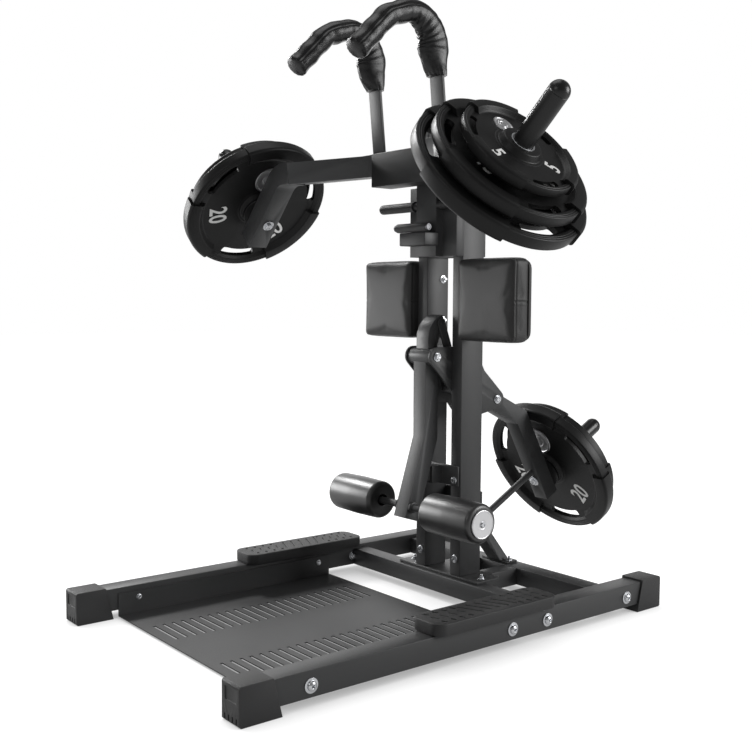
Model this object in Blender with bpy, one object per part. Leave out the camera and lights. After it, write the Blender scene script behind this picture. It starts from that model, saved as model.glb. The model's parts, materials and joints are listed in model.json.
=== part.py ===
"""Squat machine: floor frame with a perforated deck, a twin column with thigh pads, a sliding shoulder
yoke with plate horns, and a leg-curl lever linked to a rear plate lever.

Metres, +Z up. X runs across the machine, Y from the user's end (-) to the column's end (+).
Heights count from the floor. Places along Y count from the front face of the front caps, and the
empty "machine" then centres the whole on the middle of its length.
"""

import bpy
import bmesh
from math import atan2, cos, hypot, pi, radians, sin, sqrt, tan
from mathutils import Matrix, Vector

# Clearances between neighbours
GAP = 0.0003
RUNNING_GAP = 0.0004
SLIDE_GAP = 0.0008

# Floor frame
BASE_LENGTH = 1.365
RAIL_SPAN = 0.877
RAIL_WIDTH = 0.060
RAIL_HEIGHT = 0.060
RAIL_BOTTOM = 0.021
TUBE_WALL = 0.003
CAP_WALL = 0.005
FRONT_CAP_LENGTH = 0.103
REAR_CAP_LENGTH = 0.099
CAP_SLANT = 0.021
CAP_GROOVE = 0.004
BEAM_DEPTH = 0.050
FRONT_BEAM_Y = 0.936
REAR_BEAM_WIDTH = 0.060
REAR_BEAM_INSET = 0.188
SPINE_WIDTH = 0.050
SPINE_INNER_X = 0.050
BASE_PLATE_THICKNESS = 0.008
BASE_PLATE_WIDTH = 0.330
BASE_PLATE_FRONT = 0.922
BASE_PLATE_REAR = 1.022

# Deck and foot blocks
DECK_FRONT = 0.118
DECK_REAR = 0.812
DECK_SHEET = 0.003
DECK_LIFT = 0.004
DECK_FLANGE = 0.062
DECK_SLOTS = 24
SLOT_FIRST_Y = 0.152
SLOT_PITCH = 0.0266
SLOT_WIDTH = 0.008
SLOT_INNER_X = 0.108
SLOT_LENGTH = 0.128
BLOCK_FRONT = 0.520
BLOCK_REAR = 0.930
BLOCK_INNER_X = 0.352
BLOCK_WIDTH = 0.105
BLOCK_HEIGHT = 0.030
BLOCK_CHAMFER = 0.028
TREAD_RIDGES = 13
TREAD_HEIGHT = 0.004

# Column
UPRIGHT_WIDTH = 0.040
UPRIGHT_DEPTH = 0.080
UPRIGHT_GAP = 0.106
UPRIGHT_FRONT = 0.924
UPRIGHT_TOP = 1.330
BRACE_WIDTH = 0.050
BRACE_THICKNESS = 0.030
BRACE_TOP_Z = 0.272
BRACE_FOOT_AHEAD = 0.007
BRACE_PLATE = 0.006
STOP_PLATE_Z = 0.336
STOP_PLATE_HEIGHT = 0.056
STOP_PLATE = 0.006

# Thigh pads
PAD_INNER_X = 0.094
PAD_WIDTH = 0.221
PAD_BOTTOM = 0.742
PAD_HEIGHT = 0.225
PAD_FRONT = 0.893
PAD_THICKNESS = 0.058
PAD_CORNER = 0.028
PAD_CROWN = 0.006
PAD_BOARD = 0.010
PAD_BRACKET = 0.006

# Pivots of the curl lever and of the rear lever, as places along Y and Z
FRONT_PIVOT = (0.868, 0.697)
REAR_PIVOT = (1.104, 0.567)
PIVOT_PLATE = 0.006
PIVOT_PLATE_BOTTOM = 0.558
PIVOT_LOBE = 0.027
PIVOT_PIN = 0.020
BUSH_OUTER = 0.046
BUSH_LENGTH = 0.090

# Curl lever, rollers and link
LEVER_WIDTH = 0.050
LEVER_DEPTH = 0.047
LEVER_STRAIGHT_Z = 0.470
LEVER_END = (0.804, 0.246)
TAIL_WIDTH = 0.050
TAIL_RADIUS = 0.056
TAIL_BAND = 0.022
TAIL_PIN = (0.903, 0.790)
LINK_PIN = 0.012
LINK_BAR = 0.006
LINK_WIDTH = 0.026
ROCKER_PIN = (0.972, 0.604)
AXLE = (0.806, 0.281)
AXLE_DIAMETER = 0.020
ROLLER_INNER_X = 0.105
ROLLER_LENGTH = 0.195
ROLLER_DIAMETER = 0.110
ROLLER_CAP_DIAMETER = 0.076

# Rear lever
REAR_STACK = (1.417, 0.342)
REAR_HORN_ANGLE = radians(29.0)
REAR_LEVER_WIDTH = 0.050
REAR_LEVER_DEPTH = 0.050
REAR_BEND_UP = 0.225
REAR_LEVER_DROP = 0.062
STOP_ROD_DIAMETER = 0.020
STOP_ROD_OFFSET = 0.036

# Carriage
POST_WIDTH = 0.082
POST_DEPTH = 0.026
POST_FRONT = 0.870
POST_BOTTOM = 0.974
GUIDE_TOP = 1.168
GUIDE_FLANGE = 0.012
GUIDE_WEB = 0.006
CARRIAGE_PLATE = 0.009
LATCH_WIDTH = 0.106
LATCH_DEPTH = 0.052
LATCH_BOTTOM = 1.002
LATCH_HEIGHT = 0.036
LATCH_BAR_DIAMETER = 0.025
LATCH_BAR_LENGTH = 0.130
LATCH_STEM = 0.012
PEG_DIAMETER = 0.028
PEG_REACH = 0.209
PEG_Y = 0.880
PEG_Z = 1.114

# Yoke
COLLAR_WIDTH = 0.304
COLLAR_FRONT = 0.796
COLLAR_BOTTOM = 1.170
COLLAR_TOP = 1.263
ARM_SECTION = 0.060
ARM_WALL = 0.004
ARM_STUB = 0.038
ELBOW = (0.326, 0.638, 1.209)
PLATE_CENTRE = (0.515, 0.638, 1.128)
HORN_ANGLE = radians(43.0)
HORN_DIAMETER = 0.050
HORN_REACH = 0.262
HORN_FLANGE = 0.008
HORN_FLANGE_DIAMETER = 0.105
LEG_DROP = 0.080
ELBOW_RADIUS = 0.070
HOOK_X = 0.129
HOOK_BAR_WIDTH = 0.048
HOOK_BAR_THICKNESS = 0.009
HOOK_BASE_Y = 0.807
HOOK_LEG_Y = 0.790
HOOK_CUFF_Z = 1.433
HOOK_ARC_Z = 1.500
HOOK_RADIUS = 0.085
HOOK_CREST = 0.045
HOOK_CREST_DECLINE = radians(20.0)
HOOK_FRONT_RADIUS = 0.060
HOOK_FRONT_DECLINE = radians(45.0)
HOOK_FRONT = 0.120
SHOULDER_PAD_RADIUS = 0.029
SHOULDER_PAD_CUFF = 0.021
SHOULDER_PAD_SIDE = 0.029
SHOULDER_PAD_BULGE = 0.033

# Weight plates: radius, rim thickness, hub thickness, web thickness, segments
PLATE_20 = (0.225, 0.042, 0.044, 0.012, 30)
PLATE_15 = (0.198, 0.038, 0.040, 0.010, 30)
PLATE_5 = (0.150, 0.032, 0.038, 0.006, 24)
RIM_EDGE = 0.006
PLATE_BORE = 0.0256
HUB_RADIUS = 0.050
GRIP_RECESS = 0.006
WINDOW_TURN = radians(60.0)

# Studs and nuts that hold the horns
BOLT_HEAD = 0.020
BOLT_HEIGHT = 0.007
WASHER = 0.034
WASHER_HEIGHT = 0.003
STUD = 0.008
STUD_HOLE = 0.0086

INNER_X = UPRIGHT_GAP / 2
OUTER_X = INNER_X + UPRIGHT_WIDTH
RAIL_TOP = RAIL_BOTTOM + RAIL_HEIGHT
RAIL_INNER_X = RAIL_SPAN / 2 - RAIL_WIDTH
UPRIGHT_REAR = UPRIGHT_FRONT + UPRIGHT_DEPTH
BEAM_TOP = RAIL_BOTTOM + BEAM_DEPTH
REAR_BEAM_Y = BASE_LENGTH - REAR_BEAM_INSET
PLATE_TOP = BEAM_TOP + GAP + BASE_PLATE_THICKNESS
SIDES = {"left": -1, "right": 1}
REAR_AXIS = Vector((0.0, cos(REAR_HORN_ANGLE), sin(REAR_HORN_ANGLE)))
REAR_ACROSS = Vector((0.0, -sin(REAR_HORN_ANGLE), cos(REAR_HORN_ANGLE)))
REAR_TIP = 0.2304
HORN_RADIUS = HORN_DIAMETER / 2
REAR_STACK_END = REAR_STACK[0] + (REAR_TIP - HORN_RADIUS) * cos(REAR_HORN_ANGLE) + HORN_RADIUS
MACHINE_LENGTH = max(BASE_LENGTH, REAR_STACK_END)


def material(name, colour, roughness, metallic):
    found = bpy.data.materials.get(name)
    if found:
        return found
    made = bpy.data.materials.new(name)
    made.use_nodes = True
    shader = made.node_tree.nodes["Principled BSDF"]
    shader.inputs["Base Color"].default_value = (*colour, 1.0)
    shader.inputs["Roughness"].default_value = roughness
    shader.inputs["Metallic"].default_value = metallic
    return made


def powder_coat():
    return material("powder_coat", (0.030, 0.031, 0.033), 0.42, 0.0)


def vinyl():
    return material("pad_vinyl", (0.060, 0.061, 0.065), 0.48, 0.0)


def plate_rubber():
    return material("plate_rubber", (0.018, 0.018, 0.019), 0.55, 0.0)


def black_plastic():
    return material("black_plastic", (0.022, 0.022, 0.023), 0.50, 0.0)


def zinc():
    return material("bright_zinc", (0.72, 0.73, 0.74), 0.24, 1.0)


def foam():
    return material("roller_foam", (0.035, 0.035, 0.037), 0.60, 0.0)


def plywood():
    return material("plywood", (0.42, 0.30, 0.18), 0.60, 0.0)


def soft_rubber():
    return material("soft_rubber", (0.020, 0.020, 0.020), 0.75, 0.0)


def empty(name, place, parent=None):
    made = bpy.data.objects.new(name, None)
    bpy.context.scene.collection.objects.link(made)
    made.parent = parent
    made.location = place
    return made


def mesh_object(name, bm, finish, body=None, smooth=35.0):
    """Closes a bmesh made in machine places into a named object under its body's empty."""
    bmesh.ops.recalc_face_normals(bm, faces=bm.faces)
    mesh = bpy.data.meshes.new(name)
    bm.to_mesh(mesh)
    bm.free()
    made = bpy.data.objects.new(name, mesh)
    bpy.context.scene.collection.objects.link(made)
    mesh.materials.append(finish)
    mesh.shade_smooth()
    mesh.set_sharp_from_angle(angle=radians(smooth))
    if body:
        mesh.transform(Matrix.Translation(-Vector(body.location)))
        made.parent = body
    return made


def add_box(bm, low, high):
    corners = [bm.verts.new((x, y, z)) for z in (low[2], high[2]) for y in (low[1], high[1])
               for x in (low[0], high[0])]
    for loop in ((0, 1, 3, 2), (4, 6, 7, 5), (0, 4, 5, 1), (2, 3, 7, 6), (0, 2, 6, 4), (1, 5, 7, 3)):
        bm.faces.new([corners[i] for i in loop])


def box(low, high):
    bm = bmesh.new()
    add_box(bm, low, high)
    return bm


def side_box(side, x, y, z):
    """A box given by its distances from the middle plane, on one side of the machine."""
    low, high = sorted((side * x[0], side * x[1]))
    return (low, y[0], z[0]), (high, y[1], z[1])


def add_prism(bm, outline, along, start, end):
    """Extrudes a flat outline. along is the axis it runs on: 0 for X, 1 for Y, 2 for Z."""
    def corner(point, level):
        place = list(point)
        place.insert(along, level)
        return bm.verts.new(place)
    first = [corner(point, start) for point in outline]
    last = [corner(point, end) for point in outline]
    bm.faces.new(first)
    bm.faces.new(last[::-1])
    count = len(outline)
    for i in range(count):
        j = (i + 1) % count
        bm.faces.new((first[i], last[i], last[j], first[j]))


def prism(outline, along, start, end):
    bm = bmesh.new()
    add_prism(bm, outline, along, start, end)
    return bm


def arc(centre, radius, start, end, steps):
    """Points on an arc, angles in radians, both ends included."""
    return [(centre[0] + radius * cos(start + (end - start) * i / steps),
             centre[1] + radius * sin(start + (end - start) * i / steps)) for i in range(steps + 1)]


def axes_about(direction):
    """Two unit vectors square to a direction."""
    direction = Vector(direction).normalized()
    helper = Vector((0, 0, 1)) if abs(direction.z) < 0.9 else Vector((0, 1, 0))
    first = direction.cross(helper).normalized()
    return direction, first, direction.cross(first).normalized()


def add_turned(bm, profile, base, direction, segments, closed=False):
    """Turns (distance along, radius) points about an axis. A closed profile makes a ring."""
    along, first, second = axes_about(direction)
    base = Vector(base)
    rings = []
    for distance, radius in profile:
        if radius < 1e-7:
            rings.append([bm.verts.new(base + along * distance)])
            continue
        rings.append([bm.verts.new(base + along * distance + radius * (cos(2 * pi * i / segments) * first
                      + sin(2 * pi * i / segments) * second)) for i in range(segments)])
    pairs = list(zip(rings, rings[1:]))
    if closed:
        pairs.append((rings[-1], rings[0]))
    for one, two in pairs:
        for i in range(segments):
            j = (i + 1) % segments
            if len(one) == 1 and len(two) == 1:
                continue
            if len(one) == 1:
                bm.faces.new((one[0], two[i], two[j]))
            elif len(two) == 1:
                bm.faces.new((one[i], two[0], one[j]))
            else:
                bm.faces.new((one[i], two[i], two[j], one[j]))
    if not closed:
        for ring in (rings[0], rings[-1]):
            if len(ring) > 1:
                bm.faces.new(ring)


def turned(profile, base, direction, segments, closed=False):
    bm = bmesh.new()
    add_turned(bm, profile, base, direction, segments, closed)
    return bm


def add_rod(bm, start, end, diameter, segments=20):
    start, end = Vector(start), Vector(end)
    length = (end - start).length
    add_turned(bm, [(0, diameter / 2), (length, diameter / 2)], start, end - start, segments)


def rod(start, end, diameter, segments=20):
    bm = bmesh.new()
    add_rod(bm, start, end, diameter, segments)
    return bm


def temporary(bm):
    bmesh.ops.recalc_face_normals(bm, faces=bm.faces)
    mesh = bpy.data.meshes.new("cutter")
    bm.to_mesh(mesh)
    bm.free()
    made = bpy.data.objects.new("cutter", mesh)
    bpy.context.scene.collection.objects.link(made)
    return made


def combine(bm, others, operation):
    """Joins solids to a first one, or cuts them from it, and gives back one bmesh."""
    target = temporary(bm)
    tools = [temporary(other) for other in others]
    for tool in tools:
        step = target.modifiers.new("step", "BOOLEAN")
        step.operation = operation
        step.solver = "EXACT"
        step.object = tool
    shaped = bpy.data.meshes.new_from_object(target.evaluated_get(bpy.context.evaluated_depsgraph_get()))
    result = bmesh.new()
    result.from_mesh(shaped)
    bmesh.ops.remove_doubles(result, verts=result.verts, dist=1e-6)
    for made in [target] + tools:
        old = made.data
        bpy.data.objects.remove(made, do_unlink=True)
        bpy.data.meshes.remove(old)
    bpy.data.meshes.remove(shaped)
    return result


def cut(bm, others):
    return combine(bm, others, "DIFFERENCE")


def join(bm, others):
    return combine(bm, others, "UNION")


def square_tube(low, high, along, wall):
    """A hollow tube, open at both ends, along axis 0, 1 or 2."""
    across = [axis for axis in range(3) if axis != along]
    outer = [(low[across[0]], low[across[1]]), (high[across[0]], low[across[1]]),
             (high[across[0]], high[across[1]]), (low[across[0]], high[across[1]])]
    inner = [(outer[0][0] + wall, outer[0][1] + wall), (outer[1][0] - wall, outer[1][1] + wall),
             (outer[2][0] - wall, outer[2][1] - wall), (outer[3][0] + wall, outer[3][1] - wall)]
    bm = bmesh.new()
    loops = []
    for outline in (outer, inner):
        for level in (low[along], high[along]):
            verts = []
            for point in outline:
                place = list(point)
                place.insert(along, level)
                verts.append(bm.verts.new(place))
            loops.append(verts)
    outer_start, outer_end, inner_start, inner_end = loops
    for one, two in ((outer_start, outer_end), (inner_start, inner_end), (outer_start, inner_start),
                     (outer_end, inner_end)):
        for i in range(4):
            j = (i + 1) % 4
            bm.faces.new((one[i], two[i], two[j], one[j]))
    return bm


# Floor frame

def rails(machine):
    for word, side in SIDES.items():
        low, high = side_box(side, (RAIL_INNER_X, RAIL_SPAN / 2),
                             (CAP_WALL + GAP, BASE_LENGTH - CAP_WALL - GAP),
                             (RAIL_BOTTOM, RAIL_TOP))
        mesh_object(f"{word}_rail", square_tube(low, high, 1, TUBE_WALL), powder_coat(), machine)


def cap_cup(side, front):
    """A moulded foot: a cup over the rail's end, slanted at its mouth, with a grooved sole."""
    length = FRONT_CAP_LENGTH if front else REAR_CAP_LENGTH
    start = 0.0 if front else BASE_LENGTH
    step = 1 if front else -1
    top = RAIL_TOP + GAP + CAP_WALL
    soft = 0.004
    outline = [(start, soft), (start + step * soft, 0.0), (start + step * length, 0.0),
               (start + step * (length - CAP_SLANT), top), (start + step * soft, top), (start, top - soft)]
    x_low, x_high = sorted((side * (RAIL_INNER_X - GAP - CAP_WALL),
                            side * (RAIL_SPAN / 2 + GAP + CAP_WALL)))
    solid = prism(outline, 0, x_low, x_high)
    mouth = start + step * (length + 0.02)
    pocket_y = sorted((start + step * CAP_WALL, mouth))
    pocket = box(*side_box(side, (RAIL_INNER_X - GAP, RAIL_SPAN / 2 + GAP), pocket_y,
                           (RAIL_BOTTOM - GAP, RAIL_TOP + GAP)))
    cutters = [pocket]
    face = sorted((start - step * 0.01, start + step * 0.002))
    cutters.append(box(*side_box(side, (RAIL_INNER_X + 0.008, RAIL_SPAN / 2 - 0.008), face,
                                 (RAIL_TOP - 0.034, RAIL_TOP - 0.006))))
    for i in range(4):
        middle = RAIL_INNER_X + RAIL_WIDTH * (i + 0.5) / 4
        groove_y = sorted((start - step * 0.01, start + step * 0.003))
        cutters.append(box(*side_box(side, (middle - CAP_GROOVE / 2, middle + CAP_GROOVE / 2), groove_y,
                                     (-0.01, RAIL_BOTTOM - 0.004))))
    return cut(solid, cutters)


def caps(machine):
    for end, front in (("front", True), ("rear", False)):
        for word, side in SIDES.items():
            mesh_object(f"{word}_{end}_cap", cap_cup(side, front), black_plastic(), machine)


def cross_beams(machine):
    reach = RAIL_INNER_X - GAP
    for word, middle, width in (("front", FRONT_BEAM_Y, BEAM_DEPTH),
                                ("rear", REAR_BEAM_Y, REAR_BEAM_WIDTH)):
        low = (-reach, middle - width / 2, RAIL_BOTTOM)
        high = (reach, middle + width / 2, BEAM_TOP)
        mesh_object(f"{word}_cross_beam", square_tube(low, high, 0, TUBE_WALL), powder_coat(), machine)
    start = FRONT_BEAM_Y + BEAM_DEPTH / 2 + GAP
    end = REAR_BEAM_Y - REAR_BEAM_WIDTH / 2 - GAP
    for word, side in SIDES.items():
        low, high = side_box(side, (SPINE_INNER_X, SPINE_INNER_X + SPINE_WIDTH), (start, end),
                             (RAIL_BOTTOM, BEAM_TOP))
        mesh_object(f"{word}_base_spine", square_tube(low, high, 1, TUBE_WALL), powder_coat(), machine)


def column_base_plate(machine):
    half, clip = BASE_PLATE_WIDTH / 2, 0.015
    outline = [(-half, BASE_PLATE_FRONT), (half, BASE_PLATE_FRONT), (half, BASE_PLATE_REAR - clip),
               (half - clip, BASE_PLATE_REAR), (-half + clip, BASE_PLATE_REAR),
               (-half, BASE_PLATE_REAR - clip)]
    mesh_object("column_base_plate", prism(outline, 2, BEAM_TOP + GAP, PLATE_TOP), powder_coat(), machine)


def deck_plate(machine):
    """A tray of sheet steel: a slotted floor and a flange up each rail."""
    half = RAIL_INNER_X - GAP
    floor = DECK_LIFT + DECK_SHEET
    top = DECK_LIFT + DECK_FLANGE
    outline = [(-half, DECK_LIFT), (half, DECK_LIFT), (half, top), (half - DECK_SHEET, top),
               (half - DECK_SHEET, floor), (-half + DECK_SHEET, floor), (-half + DECK_SHEET, top),
               (-half, top)]
    sheet = bmesh.new()
    add_prism(sheet, outline, 1, DECK_FRONT, DECK_REAR)
    slots = bmesh.new()
    for side in SIDES.values():
        for i in range(DECK_SLOTS):
            middle = SLOT_FIRST_Y + SLOT_PITCH * i
            low, high = side_box(side, (SLOT_INNER_X, SLOT_INNER_X + SLOT_LENGTH),
                                 (middle - SLOT_WIDTH / 2, middle + SLOT_WIDTH / 2),
                                 (DECK_LIFT - 0.01, floor + 0.01))
            add_box(slots, low, high)
    mesh_object("deck_plate", cut(sheet, [slots]), powder_coat(), machine)


def foot_blocks(machine):
    """A moulded block on each rail, its ends cut off slantwise, with ridges across its top."""
    bottom = RAIL_TOP + GAP
    body_top = bottom + BLOCK_HEIGHT - TREAD_HEIGHT
    for word, side in SIDES.items():
        x0, x1 = BLOCK_INNER_X, BLOCK_INNER_X + BLOCK_WIDTH
        c = BLOCK_CHAMFER
        plan = [(x0 + c, BLOCK_FRONT), (x1 - c, BLOCK_FRONT), (x1, BLOCK_FRONT + c), (x1, BLOCK_REAR - c),
                (x1 - c, BLOCK_REAR), (x0 + c, BLOCK_REAR), (x0, BLOCK_REAR - c), (x0, BLOCK_FRONT + c)]
        solid = prism([(side * x, y) for x, y in plan], 2, bottom, body_top)
        ridges = bmesh.new()
        start, end = BLOCK_FRONT + c, BLOCK_REAR - c
        pitch = (end - start) / TREAD_RIDGES
        for i in range(TREAD_RIDGES):
            y0 = start + pitch * (i + 0.2)
            low, high = side_box(side, (x0 + 0.008, x1 - 0.008), (y0, y0 + pitch * 0.6),
                                 (body_top - 0.002, bottom + BLOCK_HEIGHT))
            add_box(ridges, low, high)
        mesh_object(f"{word}_foot_block", join(solid, [ridges]), black_plastic(), machine)


# Column

def uprights(machine):
    for word, side in SIDES.items():
        low, high = side_box(side, (INNER_X, OUTER_X), (UPRIGHT_FRONT, UPRIGHT_REAR),
                             (PLATE_TOP + GAP, UPRIGHT_TOP))
        mesh_object(f"{word}_upright", square_tube(low, high, 2, TUBE_WALL), powder_coat(), machine)


def brace_line():
    """The brace's middle line, from its head behind the column to its foot on the rear beam."""
    head = Vector((0, UPRIGHT_REAR + GAP + BRACE_PLATE, BRACE_TOP_Z))
    foot = Vector((0, REAR_BEAM_Y - BRACE_FOOT_AHEAD, BEAM_TOP + GAP + BRACE_PLATE))
    return head, foot


def rear_brace(machine):
    head, foot = brace_line()
    down = (foot - head).normalized()
    up = Vector((0, -down.z, down.y))
    half = BRACE_THICKNESS / 2
    head_y = UPRIGHT_REAR + GAP
    foot_z = BEAM_TOP + GAP
    corners = []
    for offset in (up * half, up * -half):
        start = head + offset
        start += down * ((head_y + BRACE_PLATE / 2 - start.y) / down.y)
        end = foot + offset
        end += down * ((foot_z + BRACE_PLATE / 2 - end.z) / down.z)
        corners.append(((start.y, start.z), (end.y, end.z)))
    (a, b), (d, c) = corners
    bar = prism([a, b, c, d], 0, -BRACE_WIDTH / 2, BRACE_WIDTH / 2)
    head_plate = box((-OUTER_X, head_y, BRACE_TOP_Z - 0.040),
                     (OUTER_X, head_y + BRACE_PLATE, BRACE_TOP_Z + 0.040))
    foot_plate = box((-0.052, REAR_BEAM_Y - 0.022, foot_z),
                     (0.052, REAR_BEAM_Y + 0.022, foot_z + BRACE_PLATE))
    mesh_object("rear_brace", join(bar, [head_plate, foot_plate]), powder_coat(), machine)


def pivot_outline():
    """The side plate that carries both pivots: a lobe round each, and a deep web between them."""
    front, rear = FRONT_PIVOT, REAR_PIVOT
    r = PIVOT_LOBE
    points = [(UPRIGHT_FRONT + 0.004, front[1] + r)]
    points += arc(front, r, pi / 2, 1.25 * pi, 8)
    points += [(UPRIGHT_FRONT + 0.004, front[1] - 0.100), (UPRIGHT_FRONT + 0.012, PIVOT_PLATE_BOTTOM)]
    points += [(UPRIGHT_REAR - 0.004, PIVOT_PLATE_BOTTOM), (UPRIGHT_REAR + 0.024, rear[1] - 0.042)]
    points += arc(rear, r, -0.40 * pi, 0.30 * pi, 7)
    points += [(UPRIGHT_REAR + 0.048, rear[1] + 0.085), (UPRIGHT_REAR + 0.008, front[1] + r)]
    return points


def pivot_plates(machine):
    outer = INNER_X - GAP
    bore = PIVOT_PIN + 2 * RUNNING_GAP + 2 * GAP
    for word, side in SIDES.items():
        x = sorted((side * outer, side * (outer - PIVOT_PLATE)))
        holes = [rod((-0.1, *pivot), (0.1, *pivot), bore, 24) for pivot in (FRONT_PIVOT, REAR_PIVOT)]
        plate = cut(prism(pivot_outline(), 0, x[0], x[1]), holes)
        mesh_object(f"{word}_pivot_plate", plate, powder_coat(), machine)
    radius, wide, head = PIVOT_PIN / 2, 0.014, 0.006
    end = outer + GAP
    profile = [(-end - head, wide), (-end, wide), (-end, radius), (end, radius), (end, wide),
               (end + head, wide)]
    for word, pivot in (("front", FRONT_PIVOT), ("rear", REAR_PIVOT)):
        mesh_object(f"{word}_pivot_pin", turned(profile, (0, *pivot), (1, 0, 0), 24), zinc(), machine)


def stop_bracket(machine):
    """A plate across the column's front that carries the rubber rest of the curl lever."""
    rear = UPRIGHT_FRONT - GAP
    plate = box((-OUTER_X + 0.004, rear - STOP_PLATE, STOP_PLATE_Z),
                (OUTER_X - 0.004, rear, STOP_PLATE_Z + STOP_PLATE_HEIGHT))
    nose_front = lever_rear_y(STOP_PLATE_Z + STOP_PLATE_HEIGHT / 2) + 0.014
    nose = box((-0.024, nose_front, STOP_PLATE_Z + 0.004),
               (0.024, rear - STOP_PLATE + 0.001, STOP_PLATE_Z + STOP_PLATE_HEIGHT - 0.004))
    mesh_object("stop_bracket", join(plate, [nose]), powder_coat(), machine)
    low, high = STOP_PLATE_Z + 0.010, STOP_PLATE_Z + STOP_PLATE_HEIGHT - 0.010
    back = nose_front - GAP
    outline = [(lever_rear_y(low) + GAP * 2, low), (back, low), (back, high),
               (lever_rear_y(high) + GAP * 2, high)]
    mesh_object("stop_bumper", prism(outline, 0, -0.020, 0.020), soft_rubber(), machine)


def rounded_outline(width, height, corner, steps):
    half_w, half_h = width / 2 - corner, height / 2 - corner
    points = []
    for quarter, (sx, sz) in enumerate(((1, 1), (-1, 1), (-1, -1), (1, -1))):
        points += arc((sx * half_w, sz * half_h), corner, quarter * pi / 2, (quarter + 1) * pi / 2, steps)
    return points


def pad_rings():
    """How far in from the outline, and how far back from the front, each ring of the cushion lies."""
    t = PAD_THICKNESS
    return [(0.006, t), (0.001, t - 0.004), (0.0, t - 0.012), (0.0022, t * 0.55), (0.0005, 0.017),
            (0.002, 0.009), (0.008, 0.0035), (0.020, 0.0010), (0.042, -0.30 * PAD_CROWN),
            (0.070, -0.75 * PAD_CROWN)]


def thigh_pads(machine):
    middle_z = PAD_BOTTOM + PAD_HEIGHT / 2
    middle_x = PAD_INNER_X + PAD_WIDTH / 2
    for word, side in SIDES.items():
        bm = bmesh.new()
        loops = []
        for inset, depth in pad_rings():
            corner = max(PAD_CORNER - inset * 0.5, 0.010)
            outline = rounded_outline(PAD_WIDTH - 2 * inset, PAD_HEIGHT - 2 * inset, corner, 5)
            loops.append([bm.verts.new((side * middle_x + x, PAD_FRONT + PAD_CROWN + depth, middle_z + z))
                          for x, z in outline])
        for one, two in zip(loops, loops[1:]):
            for i in range(len(one)):
                j = (i + 1) % len(one)
                bm.faces.new((one[i], two[i], two[j], one[j]))
        bm.faces.new(loops[0])
        centre = bm.verts.new((side * middle_x, PAD_FRONT, middle_z))
        last = loops[-1]
        for i in range(len(last)):
            bm.faces.new((last[i], centre, last[(i + 1) % len(last)]))
        mesh_object(f"{word}_thigh_pad", bm, vinyl(), machine, smooth=60)
        back = PAD_FRONT + PAD_CROWN + PAD_THICKNESS + GAP
        board = rounded_outline(PAD_WIDTH - 0.012, PAD_HEIGHT - 0.012, PAD_CORNER - 0.004, 4)
        sheet = prism([(side * middle_x + x, middle_z + z) for x, z in board], 1, back, back + PAD_BOARD)
        mesh_object(f"{word}_pad_board", sheet, plywood(), machine)
        bracket = pad_bracket(side, back + PAD_BOARD + GAP, middle_z)
        mesh_object(f"{word}_pad_bracket", bracket, powder_coat(), machine)


def pad_bracket(side, front, middle_z):
    """An angle: one flange on the upright's outer side, the other behind the board."""
    inner = OUTER_X + GAP
    outer = PAD_INNER_X + PAD_WIDTH * 0.72
    outline = [(side * inner, front), (side * outer, front), (side * outer, front + PAD_BRACKET),
               (side * (inner + PAD_BRACKET), front + PAD_BRACKET),
               (side * (inner + PAD_BRACKET), front + 0.030),
               (side * inner, front + 0.030)]
    return prism(outline, 2, middle_z - 0.055, middle_z + 0.055)


# Curl lever: outlines in the plane of Y and Z

def lever_rear_y(z):
    """The rear face of the lever's lower, slanted length at a height."""
    (bend_y, bend_z), (end_y, end_z) = lever_line()[1:]
    slope = (bend_y - end_y) / (bend_z - end_z)
    lean = sqrt(1 + slope * slope)
    return end_y + slope * (z - end_z) + LEVER_DEPTH / 2 * lean


def lever_line():
    y = FRONT_PIVOT[0] + 0.006
    return [(y, FRONT_PIVOT[1]), (y, LEVER_STRAIGHT_Z), LEVER_END]


def band(points, depth, extend=0.0):
    """The outline of a band of even depth along a line of points, mitred at its bends."""
    left, right = [], []
    count = len(points)
    for i, point in enumerate(points):
        here = Vector(point)
        before = (here - Vector(points[i - 1])).normalized() if i else None
        after = (Vector(points[i + 1]) - here).normalized() if i < count - 1 else None
        if before is None:
            here = here - after * extend
        if after is None:
            here = here + before * extend
        one, two = before or after, after or before
        normal = (Vector((-one.y, one.x)) + Vector((-two.y, two.x))).normalized()
        reach = depth / 2 / normal.dot(Vector((-two.y, two.x)))
        left.append(tuple(here + normal * reach))
        right.append(tuple(here - normal * reach))
    return left + right[::-1]


def tail_outline():
    """The curved horn above the front pivot, from the bush up and back to the link's pin."""
    y = FRONT_PIVOT[0] + 0.003
    centre = (y + TAIL_RADIUS, TAIL_PIN[1] - 0.043)
    line = [(y, FRONT_PIVOT[1]), (y, centre[1])]
    line += arc(centre, TAIL_RADIUS, pi, 0.56 * pi, 6)[1:]
    return band(line, TAIL_BAND)


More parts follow.
